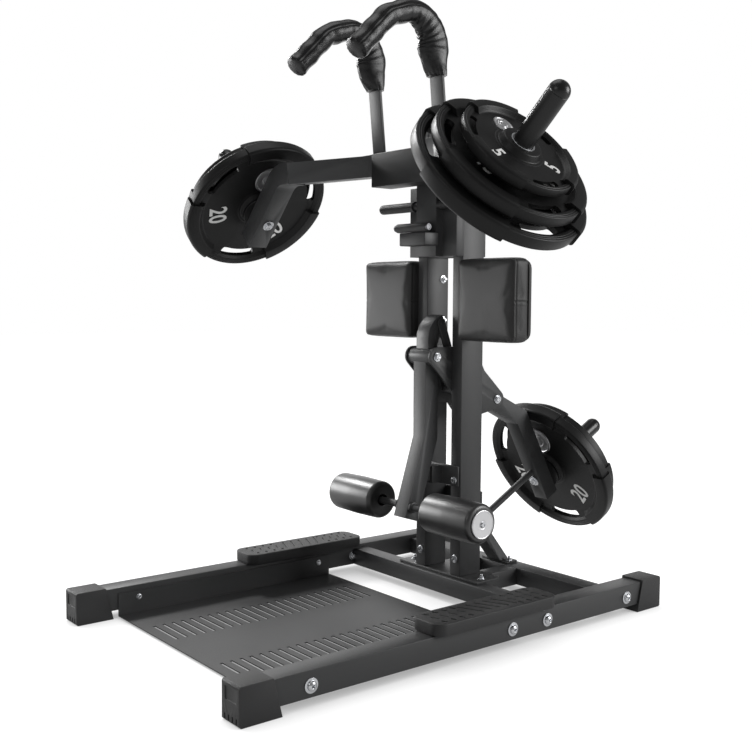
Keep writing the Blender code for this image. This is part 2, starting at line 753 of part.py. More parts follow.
def curl_lever(body):
    half = LEVER_WIDTH / 2
    bush = rod((-BUSH_LENGTH / 2, *FRONT_PIVOT), (BUSH_LENGTH / 2, *FRONT_PIVOT), BUSH_OUTER, 28)
    tube = prism(band(lever_line(), LEVER_DEPTH), 0, -half, half)
    tail = prism(tail_outline(), 0, -TAIL_WIDTH / 2, TAIL_WIDTH / 2)
    cheek = prism(arc(TAIL_PIN, 0.019, -0.10 * pi, 0.75 * pi, 6)
                  + [(FRONT_PIVOT[0] + 0.004, TAIL_PIN[1] - 0.030),
                  (FRONT_PIVOT[0] + 0.004, FRONT_PIVOT[1]), (FRONT_PIVOT[0] + 0.020, FRONT_PIVOT[1])], 0,
                  -0.019, 0.019)
    solid = join(bush, [tube, tail, cheek])
    bore = rod((-0.2, *FRONT_PIVOT), (0.2, *FRONT_PIVOT), (PIVOT_PIN + 2 * RUNNING_GAP) / cos(pi / 28), 28)
    line = lever_line()
    line[0] = (line[0][0], FRONT_PIVOT[1] - BUSH_OUTER / 2 - 0.006)
    down = (Vector(LEVER_END) - Vector(line[1])).normalized()
    line[2] = tuple(Vector(LEVER_END) + down * 0.02)
    hollow = prism(band(line, LEVER_DEPTH - 2 * TUBE_WALL), 0, -half + TUBE_WALL, half - TUBE_WALL)
    axle_hole = rod((-0.1, *AXLE), (0.1, *AXLE), AXLE_DIAMETER + 2 * GAP + 0.0006, 20)
    pin_hole = rod((-0.1, *TAIL_PIN), (0.1, *TAIL_PIN), LINK_PIN + 2 * RUNNING_GAP, 16)
    mesh_object("curl_lever", cut(solid, [bore, hollow, axle_hole, pin_hole]), powder_coat(), body)


def roller_axle(body):
    """The axle, with a collar against each side of the lever and a washer outside each roller."""
    radius = AXLE_DIAMETER / 2
    reach = ROLLER_INNER_X + ROLLER_LENGTH + SLIDE_GAP
    half = LEVER_WIDTH / 2 + GAP
    collar = 0.008
    profile = [(-reach, radius), (-half - collar, radius), (-half - collar, radius * 1.6),
               (-half, radius * 1.6), (-half, radius),
               (half, radius), (half, radius * 1.6), (half + collar, radius * 1.6), (half + collar, radius),
               (reach, radius)]
    mesh_object("roller_axle", turned(profile, (0, *AXLE), (1, 0, 0), 20), powder_coat(), body)
    wide = ROLLER_CAP_DIAMETER / 2
    start = reach + GAP
    profile = [(0, wide), (0.002, wide), (0.004, wide - 0.002), (0.005, 0.010), (0.006, 0)]
    for word, side in SIDES.items():
        disc = turned(profile, (side * start, *AXLE), (side, 0, 0), 28)
        mesh_object(f"{word}_roller_cap", disc, zinc(), body)


def roller(word, side, body):
    length = ROLLER_LENGTH
    outer = ROLLER_DIAMETER / 2
    soft = 0.010
    sleeve = (AXLE_DIAMETER / 2 + RUNNING_GAP) / cos(pi / 28)
    profile = [(0, sleeve)]
    profile += [(soft - soft * sin(a), outer - soft + soft * cos(a)) for a in (pi / 2, pi / 4, 0)]
    profile += [(length - soft + soft * sin(a), outer - soft + soft * cos(a)) for a in (0, pi / 4, pi / 2)]
    profile += [(length, sleeve)]
    base = (side * ROLLER_INNER_X, *AXLE)
    mesh_object(f"{word}_roller", turned(profile, base, (side, 0, 0), 28, closed=True), foam(), body)


def link_bars(body):
    """Two bars beside the tail, held by one pin through it. Their lower ends lie beside the rocker."""
    start, end = Vector(TAIL_PIN), Vector(ROCKER_PIN)
    along = (end - start).normalized()
    turn = atan2(along.y, along.x)
    half = LINK_WIDTH / 2
    outline = arc(TAIL_PIN, half, turn + pi / 2, turn + 1.5 * pi, 6) + arc(ROCKER_PIN, half, turn - pi / 2,
                                                                           turn + pi / 2, 6)
    inner = link_inner_x()
    bars = [prism(outline, 0, *sorted((side * inner, side * (inner + LINK_BAR)))) for side in (1, -1)]
    reach = inner + LINK_BAR + 0.004
    pin = rod((-reach, *TAIL_PIN), (reach, *TAIL_PIN), LINK_PIN, 16)
    heads = [rod((side * (reach - 0.006), *ROCKER_PIN), (side * reach, *ROCKER_PIN), LINK_PIN, 16)
             for side in (1, -1)]
    mesh_object("link_bars", join(bars[0], [bars[1], pin] + heads), powder_coat(), body)


def link_inner_x():
    return TAIL_WIDTH / 2 + 0.002


# Rear lever

def rear_point(along, across):
    place = Vector((0, *REAR_STACK)) + REAR_AXIS * along + REAR_ACROSS * across
    return (place.y, place.z)


def rear_lever(body):
    half = REAR_LEVER_WIDTH / 2
    centre_along = rear_face() - REAR_LEVER_DEPTH / 2
    line = [REAR_PIVOT, rear_point(centre_along, REAR_BEND_UP), rear_point(centre_along, -REAR_LEVER_DROP)]
    tube = prism(band(line, REAR_LEVER_DEPTH), 0, -half, half)
    bush = rod((-BUSH_LENGTH / 2, *REAR_PIVOT), (BUSH_LENGTH / 2, *REAR_PIVOT), BUSH_OUTER, 28)
    rocker = prism(band([REAR_PIVOT, ROCKER_PIN], 0.030, 0.012), 0, -0.020, 0.020)
    stub = link_inner_x() - SLIDE_GAP
    stub_pin = rod((-stub, *ROCKER_PIN), (stub, *ROCKER_PIN), LINK_PIN, 16)
    rod_start = rear_point(centre_along, STOP_ROD_OFFSET)
    rod_end = stop_rod_end()
    stop = rod((0, *rod_start), (0, *rod_end), STOP_ROD_DIAMETER, 16)
    solid = join(bush, [tube, rocker, stop, stub_pin])
    bore = rod((-0.2, *REAR_PIVOT), (0.2, *REAR_PIVOT), (PIVOT_PIN + 2 * RUNNING_GAP) / cos(pi / 28), 28)
    lower = [rear_point(centre_along, REAR_BEND_UP - 0.020),
             rear_point(centre_along, -REAR_LEVER_DROP - 0.02)]
    hollow = prism(band(lower, REAR_LEVER_DEPTH - 2 * TUBE_WALL), 0, -half + TUBE_WALL, half - TUBE_WALL)
    stud = Vector((0, *REAR_STACK))
    stud_hole = rod(stud - REAR_AXIS * 0.2, stud, 2 * STUD_HOLE, 16)
    mesh_object("rear_lever", cut(solid, [bore, hollow, stud_hole]), powder_coat(), body)


def rear_face():
    """Where the lever's rear face lies along the horn, counted from the middle of the stack."""
    return -PLATE_20[2] - 2 * GAP - HORN_FLANGE - GAP


def stop_rod_end():
    """Where the rod, running along the horn's direction, meets the upper face of the brace."""
    head, foot = brace_line()
    down = (foot - head).normalized()
    up = Vector((0, -down.z, down.y))
    surface = head + up * (BRACE_THICKNESS / 2 + GAP + STOP_ROD_DIAMETER / 2 * abs(down.dot(REAR_AXIS)))
    start = Vector((0, *rear_point(rear_face(), STOP_ROD_OFFSET)))
    reach = (surface - start).dot(up) / -REAR_AXIS.dot(up)
    end = start - REAR_AXIS * reach
    return (end.y, end.z)


def horn_profile(start, tip, section):
    """From the nut inside the tube: washer, stud, flange, a straight bar and its domed end."""
    radius = HORN_DIAMETER / 2
    seat = start - GAP - section - GAP
    nut = BOLT_HEAD / 2
    profile = [(seat - WASHER_HEIGHT - BOLT_HEIGHT, nut), (seat - WASHER_HEIGHT, nut),
               (seat - WASHER_HEIGHT, WASHER / 2),
               (seat, WASHER / 2), (seat, STUD), (start, STUD), (start, HORN_FLANGE_DIAMETER / 2),
               (start + HORN_FLANGE, HORN_FLANGE_DIAMETER / 2), (start + HORN_FLANGE, radius)]
    profile += [(tip - radius + radius * sin(a), radius * cos(a)) for a in (0, pi / 8, pi / 4, 3 * pi / 8)]
    profile.append((tip, 0))
    return profile


def rear_horn(body):
    start = rear_face() + GAP
    profile = horn_profile(start, REAR_TIP, REAR_LEVER_DEPTH)
    mesh_object("rear_horn", turned(profile, (0, *REAR_STACK), REAR_AXIS, 24), powder_coat(), body)


# Weight plates

def plate_levels(radius, rim, hub, web):
    """Radii and half thicknesses from the bore out, for a plain sector and for a grip sector."""
    shared = [(PLATE_BORE, hub / 2), (HUB_RADIUS, hub / 2), (HUB_RADIUS + 0.004, web / 2),
              (0.72 * radius, web / 2)]
    plain = [(0.80 * radius, web / 2), (0.84 * radius, rim / 2), (radius - RIM_EDGE, rim / 2),
             (radius, rim / 2 - RIM_EDGE)]
    low = rim / 2 - GRIP_RECESS
    edge = radius - GRIP_RECESS
    grip = [(0.86 * radius, web / 2), (0.89 * radius, low), (edge - RIM_EDGE, low), (edge, low - RIM_EDGE)]
    return shared + plain, shared + grip


def weight_plate(name, size, centre, direction, body):
    """A three-grip plate: bore, hub, recessed web with three windows, and a rim stepped at the grips."""
    radius, rim, hub, web, segments = size
    along, first, second = axes_about(direction)
    centre = Vector(centre)
    plain, grip = plate_levels(radius, rim, hub, web)
    third = segments // 3
    span = third // 2
    window = 3
    bm = bmesh.new()
    front, back = [], []

    def in_grip(i):
        return i % third < span

    def is_open(i):
        return 0 < i % third < span - 1

    for i in range(segments):
        angle = WINDOW_TURN + 2 * pi * i / segments
        outward = cos(angle) * first + sin(angle) * second
        levels = grip if in_grip(i) or in_grip(i - 1) else plain
        front.append([bm.verts.new(centre + outward * r + along * h) for r, h in levels])
        back.append([bm.verts.new(centre + outward * r - along * h) for r, h in levels])
    for i in range(segments):
        j = (i + 1) % segments
        for k in range(len(plain) - 1):
            if k == window and is_open(i):
                continue
            bm.faces.new((front[i][k], front[i][k + 1], front[j][k + 1], front[j][k]))
            bm.faces.new((back[i][k], back[j][k], back[j][k + 1], back[i][k + 1]))
        bm.faces.new((front[i][0], front[j][0], back[j][0], back[i][0]))
        bm.faces.new((front[i][-1], back[i][-1], back[j][-1], front[j][-1]))
        if not is_open(i):
            continue
        for k in (window, window + 1):
            bm.faces.new((front[i][k], front[j][k], back[j][k], back[i][k]))
        for edge, beside in ((i, i - 1), (j, i + 1)):
            if not is_open(beside % segments):
                bm.faces.new((front[edge][window], front[edge][window + 1],
                              back[edge][window + 1], back[edge][window]))
    mesh_object(name, bm, plate_rubber(), body)


# Carriage and yoke

def horn_axis(side):
    return Vector((side * cos(HORN_ANGLE), 0, sin(HORN_ANGLE)))


def plate_middle(side):
    return Vector((side * PLATE_CENTRE[0], PLATE_CENTRE[1], PLATE_CENTRE[2]))


def post_back():
    return POST_FRONT + POST_DEPTH


def carriage_frame(body):
    """A hollow post welded to a plate, with guide blocks before the uprights and channels round them."""
    half = POST_WIDTH / 2
    post = square_tube((-half, POST_FRONT, POST_BOTTOM), (half, post_back(), COLLAR_TOP), 2, TUBE_WALL)
    plate_front = post_back() - TUBE_WALL / 4
    plate_rear = post_back() + CARRIAGE_PLATE
    web_outer = INNER_X - SLIDE_GAP
    web_inner = web_outer - GUIDE_WEB
    block_rear = UPRIGHT_FRONT - SLIDE_GAP
    hook_front = UPRIGHT_REAR + SLIDE_GAP
    hook_rear = hook_front + GUIDE_FLANGE
    right = [(OUTER_X + 0.004, plate_front), (OUTER_X + 0.004, block_rear), (web_outer, block_rear),
             (web_outer, hook_front),
             (OUTER_X - 0.008, hook_front), (OUTER_X - 0.008, hook_rear), (web_inner, hook_rear),
             (web_inner, plate_rear)]
    left = [(-x, y) for x, y in reversed(right)]
    guides = prism(right + left, 2, POST_BOTTOM, GUIDE_TOP)
    mesh_object("carriage_frame", join(post, [guides]), powder_coat(), body)


def hand_pegs(body):
    radius = PEG_DIAMETER / 2
    start = POST_WIDTH / 2 + GAP
    length = PEG_REACH - start
    profile = [(0, radius), (length - 0.010, radius), (length - 0.003, radius * 0.8),
               (length, radius * 0.45)]
    for word, side in SIDES.items():
        peg = turned(profile, (side * start, PEG_Y, PEG_Z), (side, 0, 0), 18)
        mesh_object(f"{word}_hand_peg", peg, black_plastic(), body)


def latch_bar_place():
    lift = LATCH_BOTTOM + LATCH_HEIGHT + GAP + LATCH_BAR_DIAMETER / 2
    return (POST_FRONT - LATCH_DEPTH + LATCH_BAR_DIAMETER * 0.15, lift)


def latch_box(body):
    half = LATCH_WIDTH / 2
    rear = POST_FRONT - GAP
    solid = box((-half, rear - LATCH_DEPTH, LATCH_BOTTOM), (half, rear, LATCH_BOTTOM + LATCH_HEIGHT))
    mesh_object("latch_box", solid, powder_coat(), body)


def latch_handle(body):
    """A cross bar with a flat stem that runs back over the box."""
    y, z = latch_bar_place()
    half = LATCH_BAR_LENGTH / 2
    radius = LATCH_BAR_DIAMETER / 2
    profile = [(-half, radius * 0.7), (-half + 0.003, radius), (half - 0.003, radius), (half, radius * 0.7)]
    bar = turned(profile, (0, y, z), (1, 0, 0), 18)
    stem = box((-0.012, y, z - LATCH_STEM / 2), (0.012, POST_FRONT - GAP - SLIDE_GAP, z + LATCH_STEM / 2))
    mesh_object("latch_handle", join(bar, [stem]), black_plastic(), body)


def collar_rear():
    return POST_FRONT - GAP


def collar(body):
    """A welded box. Its hollow opens through a hole towards the post."""
    half = COLLAR_WIDTH / 2
    low = Vector((-half, COLLAR_FRONT, COLLAR_BOTTOM))
    high = Vector((half, collar_rear(), COLLAR_TOP))
    wall = Vector((ARM_WALL, ARM_WALL, ARM_WALL))
    middle_z = (COLLAR_BOTTOM + COLLAR_TOP) / 2
    hollow = box(low + wall, high - wall)
    hole = rod((0, COLLAR_FRONT + 0.02, middle_z), (0, collar_rear() + 0.02, middle_z), 0.030, 20)
    mesh_object("yoke_collar", cut(box(low, high), [hollow, hole]), powder_coat(), body)


def arm_frame(side):
    """The arm's three points: at the collar, where it turns forward, and at the elbow."""
    middle_y = (COLLAR_FRONT + collar_rear()) / 2
    middle_z = COLLAR_TOP - ARM_SECTION / 2
    start = Vector((side * (COLLAR_WIDTH / 2 + GAP), middle_y, middle_z))
    turn = start + Vector((side * ARM_STUB, 0, 0))
    return start, turn, Vector((side * ELBOW[0], ELBOW[1], ELBOW[2]))


def straight_tube(start, end, up, section, lengthen=(0.0, 0.0)):
    """A square bar between two points, with one face square to up."""
    start, end = Vector(start), Vector(end)
    along = (end - start).normalized()
    across = along.cross(Vector(up)).normalized()
    top = across.cross(along).normalized()
    start, end = start - along * lengthen[0], end + along * lengthen[1]
    bm = bmesh.new()
    half = section / 2
    loops = []
    for place in (start, end):
        loops.append([bm.verts.new(place + across * half * a + top * half * b) for a,
                      b in ((-1, -1), (1, -1), (1, 1), (-1, 1))])
    for i in range(4):
        j = (i + 1) % 4
        bm.faces.new((loops[0][i], loops[1][i], loops[1][j], loops[0][j]))
    bm.faces.new(loops[0])
    bm.faces.new(loops[1][::-1])
    return bm


def leg_points(side):
    """The leg of the arm that carries the horn: its middle line from the elbow down and out."""
    axis = horn_axis(side)
    face = -PLATE_20[2] / 2 - GAP - HORN_FLANGE - GAP
    root = plate_middle(side) + axis * (face - ARM_SECTION / 2)
    down = Vector((side * sin(HORN_ANGLE), 0, -cos(HORN_ANGLE)))
    reach = (ELBOW[2] - root.z) / cos(HORN_ANGLE)
    return root - down * reach, root + down * LEG_DROP


def bent_leg(side, start_x, section, lengthen):
    """A square bar that leaves the sweep level, bends over an arc, and runs down and out."""
    top, low = leg_points(side)
    turn = pi / 2 - HORN_ANGLE
    tangent = ELBOW_RADIUS * tan(turn / 2)
    centre = (top.x - side * tangent, top.z - ELBOW_RADIUS)
    line = [(start_x, top.z)]
    line += [(centre[0] + side * ELBOW_RADIUS * sin(turn * i / 5),
              centre[1] + ELBOW_RADIUS * cos(turn * i / 5))
             for i in range(6)]
    down = (low - top).normalized()
    end = low + down * lengthen
    line.append((end.x, end.z))
    return prism(band(line, section), 1, ELBOW[1] - section / 2, ELBOW[1] + section / 2)


def yoke_arm(word, side, body):
    """Collar end, forward sweep, and a leg down and out: one welded square tube, open at both ends."""
    start, turn, elbow = arm_frame(side)
    top, low = leg_points(side)
    tangent = ELBOW_RADIUS * tan((pi / 2 - HORN_ANGLE) / 2)
    across = Vector((side, 0, 0))
    flat = Vector((0, 0, 1))
    half = ARM_SECTION / 2
    elbow = Vector((top.x - side * (tangent + half * 0.5), elbow.y, elbow.z))
    mitre = half * tan((elbow - turn).angle(across) / 2)
    stub = straight_tube(start, turn, flat, ARM_SECTION, (0, mitre))
    span = straight_tube(turn, elbow, flat, ARM_SECTION, (mitre, mitre))
    leg = bent_leg(side, elbow.x - side * mitre, ARM_SECTION, 0.0)
    solid = join(stub, [span, leg])
    inside = ARM_SECTION - 2 * ARM_WALL
    hollows = [straight_tube(start, turn, flat, inside, (0.02, mitre - ARM_WALL)),
               straight_tube(turn, elbow, flat, inside, (mitre - ARM_WALL, mitre - ARM_WALL)),
               bent_leg(side, elbow.x - side * (mitre - ARM_WALL), inside, 0.02)]
    middle = plate_middle(side)
    hollows.append(rod(middle - horn_axis(side) * 0.2, middle, 2 * STUD_HOLE, 16))
    mesh_object(f"{word}_yoke_arm", cut(solid, hollows), powder_coat(), body)


def yoke_horn(word, side, body):
    face = -PLATE_20[2] / 2 - GAP - HORN_FLANGE
    profile = horn_profile(face, HORN_REACH, ARM_SECTION)
    mesh_object(f"{word}_horn", turned(profile, plate_middle(side), horn_axis(side), 24), powder_coat(),
                body)


def hook_path(steps):
    """Points along the hook from its foot up to the cuff, over the arc, and down its front in two slopes.

    Beside each point stands how much fuller than round the pad is there on its inner side.
    """
    points = [(HOOK_BASE_Y, COLLAR_TOP + GAP), (HOOK_LEG_Y, HOOK_CUFF_Z),
              (HOOK_LEG_Y, (HOOK_CUFF_Z + HOOK_ARC_Z) / 2)]
    fuller = [0.0, 0.0, SHOULDER_PAD_BULGE * 0.7]
    turn = pi / 2 + HOOK_CREST_DECLINE
    points += arc((HOOK_LEG_Y - HOOK_RADIUS, HOOK_ARC_Z), HOOK_RADIUS, 0, turn, steps)
    fuller += [SHOULDER_PAD_BULGE * cos(min(turn * i / steps, pi / 2)) for i in range(steps + 1)]
    y, z = points[-1]
    y -= cos(HOOK_CREST_DECLINE) * HOOK_CREST
    z -= sin(HOOK_CREST_DECLINE) * HOOK_CREST
    centre = (y + sin(HOOK_CREST_DECLINE) * HOOK_FRONT_RADIUS,
              z - cos(HOOK_CREST_DECLINE) * HOOK_FRONT_RADIUS)
    bend = arc(centre, HOOK_FRONT_RADIUS, turn, pi / 2 + HOOK_FRONT_DECLINE, 2)
    points += bend
    y, z = bend[-1]
    for part in (0.35, 0.7, 0.9, 1.0):
        reach = HOOK_FRONT * part
        points.append((y - cos(HOOK_FRONT_DECLINE) * reach, z - sin(HOOK_FRONT_DECLINE) * reach))
    fuller += [0.0] * (len(points) - len(fuller))
    return [Vector(point) for point in points], fuller


def sweep_path(path, x, sections):
    """Sweeps a section along a path in the plane of Y and Z, from a level start."""
    bm = bmesh.new()
    loops = []
    count = len(path)
    for i, point in enumerate(path):
        before = (point - path[i - 1]).normalized() if i else (path[1] - point).normalized()
        after = (path[i + 1] - point).normalized() if i < count - 1 else before
        along = (before + after).normalized()
        out = Vector((-along.y, along.x))
        stretch = 1 / max(out.dot(Vector((-after.y, after.x))), 0.7)
        loops.append([bm.verts.new((x + a, point.x + out.x * b * stretch, point.y + out.y * b * stretch))
                      for a, b in sections[i]])
    for vert in loops[0]:
        vert.co.z = path[0].y
    for one, two in zip(loops, loops[1:]):
        for i in range(len(one)):
            j = (i + 1) % len(one)
            bm.faces.new((one[i], two[i], two[j], one[j]))
    bm.faces.new(loops[0])
    bm.faces.new(loops[-1][::-1])
    return bm


def bar_section(clearance=0.0):
    half_w, half_t = HOOK_BAR_WIDTH / 2 + clearance, HOOK_BAR_THICKNESS / 2 + clearance
    return [(-half_w, -half_t), (half_w, -half_t), (half_w, half_t), (-half_w, half_t)]


def shoulder_hook(word, side, body):
    x = side * HOOK_X
    path, fuller = hook_path(8)
    bar_path = path[:-2]
    bar = sweep_path(bar_path, x, [bar_section()] * len(bar_path))
    mesh_object(f"{word}_hook_bar", bar, powder_coat(), body)
    pad_path, bulges = path[1:], fuller[1:]
    down = (pad_path[-1] - pad_path[-2]).normalized()
    count = len(pad_path)
    radii = []
    for i in range(count):
        part = i / (count - 1)
        swell = sin(pi * min(part * 1.6, 1.0) / 2)
        radii.append(SHOULDER_PAD_CUFF + (SHOULDER_PAD_RADIUS - SHOULDER_PAD_CUFF) * swell)
    shares = [1.0] * (count - 1) + [0.93]
    for extra, share in ((0.010, 0.74), (0.015, 0.42)):
        pad_path.append(pad_path[count - 1] + down * extra)
        radii.append(SHOULDER_PAD_RADIUS)
        shares.append(share)
        bulges.append(0.0)
    sides = 14
    turns = [2 * pi * k / sides for k in range(sides)]
    sections = [[(SHOULDER_PAD_SIDE * share * cos(t), r * share * sin(t) + bulge * max(sin(t), 0))
                 for t in turns]
                for r, share, bulge in zip(radii, shares, bulges)]
    skin = sweep_path(pad_path, x, sections)
    hole_path = [pad_path[0] - Vector((0, 0.03))] + path[1:-2]
    tip = (hole_path[-1] - hole_path[-2]).normalized()
    hole_path[-1] = hole_path[-1] + tip * GAP
    hole = sweep_path(hole_path, x, [bar_section(GAP * 2)] * len(hole_path))
    mesh_object(f"{word}_shoulder_pad", cut(skin, [hole]), vinyl(), body, smooth=60)


def build():
    for old in list(bpy.data.objects):
        bpy.data.objects.remove(old, do_unlink=True)
    machine = empty("machine", (0, -MACHINE_LENGTH / 2, 0))
    still = empty("floor_frame", (0, 0, 0), machine)
    carriage = empty("carriage", (0, POST_FRONT, POST_BOTTOM), machine)
    latch = empty("latch", (0, *latch_bar_place()), machine)
    curl = empty("curl_pivot", (0, *FRONT_PIVOT), machine)
    link = empty("link_pivot", (0, *TAIL_PIN), machine)
    rear = empty("rear_pivot", (0, *REAR_PIVOT), machine)

    rails(still)
    caps(still)
    cross_beams(still)
    column_base_plate(still)
    deck_plate(still)
    foot_blocks(still)
    uprights(still)
    rear_brace(still)
    pivot_plates(still)
    stop_bracket(still)
    thigh_pads(still)

    curl_lever(curl)
    roller_axle(curl)
    for word, side in SIDES.items():
        spin = empty(f"{word}_roller_axis", (side * ROLLER_INNER_X, *AXLE), machine)
        roller(word, side, spin)
    link_bars(link)
    rear_lever(rear)
    rear_horn(rear)

    carriage_frame(carriage)
    hand_pegs(carriage)
    latch_box(carriage)
    latch_handle(latch)
    collar(carriage)
    for word, side in SIDES.items():
        yoke_arm(word, side, carriage)
        yoke_horn(word, side, carriage)
        shoulder_hook(word, side, carriage)
        reach = 0.0
        behind = PLATE_20[2] / 2
        for label, size in (("20", PLATE_20), ("15", PLATE_15), ("5", PLATE_5)):
            middle = plate_middle(side) + horn_axis(side) * reach
            if label != "20":
                reach = behind + GAP + size[2] / 2
                middle = plate_middle(side) + horn_axis(side) * reach
                behind = reach + size[2] / 2
            axis = empty(f"{word}_plate_{label}_axis", middle, machine)
            weight_plate(f"{word}_plate_{label}", size, middle, horn_axis(side), axis)
    for word, step, size in (("inner", -1, PLATE_20), ("outer", 1, PLATE_15)):
        middle = Vector((0, *REAR_STACK)) + REAR_AXIS * step * (size[2] / 2 + GAP / 2)
        axis = empty(f"rear_plate_{word}_axis", middle, machine)
        weight_plate(f"rear_plate_{word}", size, middle, REAR_AXIS, axis)


build()
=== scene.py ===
"""Finishes for a squat machine: rounded tubes, pads, rollers, weight plates and fasteners on its frame."""

import bpy
import json
from math import atan2, cos, exp, pi, radians, sin, tan
from mathutils import Matrix, Vector, noise

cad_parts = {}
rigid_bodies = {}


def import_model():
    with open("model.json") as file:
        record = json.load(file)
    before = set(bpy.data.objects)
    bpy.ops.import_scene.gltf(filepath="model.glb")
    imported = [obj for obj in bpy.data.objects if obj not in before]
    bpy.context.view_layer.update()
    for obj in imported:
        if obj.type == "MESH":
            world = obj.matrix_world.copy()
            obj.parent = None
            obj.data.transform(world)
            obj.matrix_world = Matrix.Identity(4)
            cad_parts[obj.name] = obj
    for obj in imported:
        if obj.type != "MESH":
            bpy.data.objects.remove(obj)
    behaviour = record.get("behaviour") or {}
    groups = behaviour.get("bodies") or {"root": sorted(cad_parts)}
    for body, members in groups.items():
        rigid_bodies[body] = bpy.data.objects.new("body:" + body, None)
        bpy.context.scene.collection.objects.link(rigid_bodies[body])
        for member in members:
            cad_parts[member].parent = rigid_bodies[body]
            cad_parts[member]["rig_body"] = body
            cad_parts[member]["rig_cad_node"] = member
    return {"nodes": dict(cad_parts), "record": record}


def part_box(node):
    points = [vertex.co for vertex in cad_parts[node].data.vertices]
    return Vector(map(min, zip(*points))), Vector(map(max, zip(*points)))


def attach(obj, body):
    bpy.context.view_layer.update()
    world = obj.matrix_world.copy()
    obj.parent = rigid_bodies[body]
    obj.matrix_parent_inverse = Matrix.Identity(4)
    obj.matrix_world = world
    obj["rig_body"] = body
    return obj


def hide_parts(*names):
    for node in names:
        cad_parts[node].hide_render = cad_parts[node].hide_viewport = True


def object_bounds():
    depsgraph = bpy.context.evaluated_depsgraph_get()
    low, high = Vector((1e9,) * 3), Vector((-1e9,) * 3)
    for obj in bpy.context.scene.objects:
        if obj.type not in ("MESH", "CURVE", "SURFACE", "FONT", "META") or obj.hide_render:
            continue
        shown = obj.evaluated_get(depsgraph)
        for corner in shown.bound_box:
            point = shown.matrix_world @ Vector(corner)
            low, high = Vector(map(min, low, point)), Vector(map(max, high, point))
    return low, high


bl_info = {
    "name": "Squat machine finishes",
    "version": (1, 0, 0),
    "blender": (4, 5, 0),
    "location": "View3D > Sidebar > Squat machine",
    "description": "Models the finished tubes, pads, plates and fasteners of a squat machine",
    "category": "Object",
}

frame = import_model()
CAD_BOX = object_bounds()
BEHAVIOUR = frame["record"]["behaviour"]
BODY_OF = {node: body for body, nodes in BEHAVIOUR["bodies"].items() for node in nodes}
SIDES = {"left": -1, "right": 1}
FRONT, BACK, UP = (0, -1, 0), (0, 1, 0), (0, 0, 1)
ONE_PLACE = 0.00002


# Selecting and finishing

def deselect():
    if bpy.context.object and bpy.context.object.mode != "OBJECT":
        bpy.ops.object.mode_set(mode="OBJECT")
    bpy.ops.object.select_all(action="DESELECT")


def choose(piece, *others):
    deselect()
    for one in (piece, *others):
        one.select_set(True)
    bpy.context.view_layer.objects.active = piece


def edit(piece, action="SELECT"):
    """Opens a piece's mesh with all or none of its corners chosen."""
    choose(piece)
    bpy.ops.object.mode_set(mode="EDIT")
    bpy.ops.mesh.select_mode(type="VERT")
    bpy.ops.mesh.select_all(action=action)


def leave_edit():
    bpy.ops.object.mode_set(mode="OBJECT")


def named(name):
    piece = bpy.context.object
    piece.name = name
    piece.data.name = name
    return piece


def settle(piece):
    """Puts the piece's place into its mesh, so the object stands at the origin."""
    choose(piece)
    bpy.ops.object.transform_apply(location=True, rotation=True, scale=True)
    return piece


def apply_all(piece):
    choose(piece)
    for step in list(piece.modifiers):
        bpy.ops.object.modifier_apply(modifier=step.name)
    return piece


def set_all(target, **settings):
    for key, value in settings.items():
        setattr(target, key, value)


def modified(piece, kind, **settings):
    """A piece with one modifier set and applied."""
    set_all(piece.modifiers.new("step", kind), **settings)
    return apply_all(piece)


def soften(piece, width, segments=2, angle=35.0):
    return modified(piece, "BEVEL", width=width, segments=segments, limit_method="ANGLE",
                    angle_limit=radians(angle), use_clamp_overlap=True, miter_outer="MITER_ARC")


def finish(piece, body, look, smooth=35.0):
    """Sets a piece down with smooth faces and one of the looks, on its body."""
    slot, material = dressed(look)
    settle(piece)
    bpy.ops.object.shade_smooth_by_angle(angle=radians(smooth))
    piece.data.materials.clear()
    piece.data.materials.append(material)
    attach(piece, body)
    return piece


def carry(node, width, look, segments=2):
    """A copy of a solid with its flat faces merged and its edges rounded."""
    choose(frame["nodes"][node])
    bpy.ops.object.duplicate()
    piece = named(f"{node}_finish")
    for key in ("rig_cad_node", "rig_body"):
        del piece[key]
    piece.parent = None
    edit(piece)
    bpy.ops.mesh.remove_doubles(threshold=ONE_PLACE)
    bpy.ops.mesh.dissolve_limited(angle_limit=radians(1.0))
    leave_edit()
    soften(piece, width, segments)
    finish(piece, BODY_OF[node], look, 40)
    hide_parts(node)
    return piece


# Finishes

def add(tree, kind, place, values=None, **settings):
    """A node with its settings, and numbers for its inputs."""
    node = tree.nodes.new(kind)
    node.location = place
    set_all(node, **settings)
    for key, value in (values or {}).items():
        node.inputs[key].default_value = value
    return node


def stretched(tree, place, value, start=(0.0, 1.0), end=(0.0, 1.0)):
    """A value carried from one span of numbers to another."""
    node = add(tree, "ShaderNodeMapRange", place, {"From Min": start[0], "From Max": start[1],
                                                   "To Min": end[0], "To Max": end[1]})
    tree.links.new(value, node.inputs["Value"])
    return node.outputs["Result"]


def product(tree, place, one, two):
    node = add(tree, "ShaderNodeMath", place, operation="MULTIPLY")
    tree.links.new(one, node.inputs[0])
    tree.links.new(two, node.inputs[1])
    return node.outputs["Value"]


def clouds(tree, place, scale, detail, roughness=0.5):
    """Noise over a piece's own measures. The scale is a number or a node's output."""
    where = add(tree, "ShaderNodeTexCoord", (place[0] - 250, place[1]))
    node = add(tree, "ShaderNodeTexNoise", place, {"Detail": detail, "Roughness": roughness})
    tree.links.new(where.outputs["Object"], node.inputs["Vector"])
    if isinstance(scale, float):
        node.inputs["Scale"].default_value = scale
    else:
        tree.links.new(scale, node.inputs["Scale"])
    return node.outputs["Fac"]


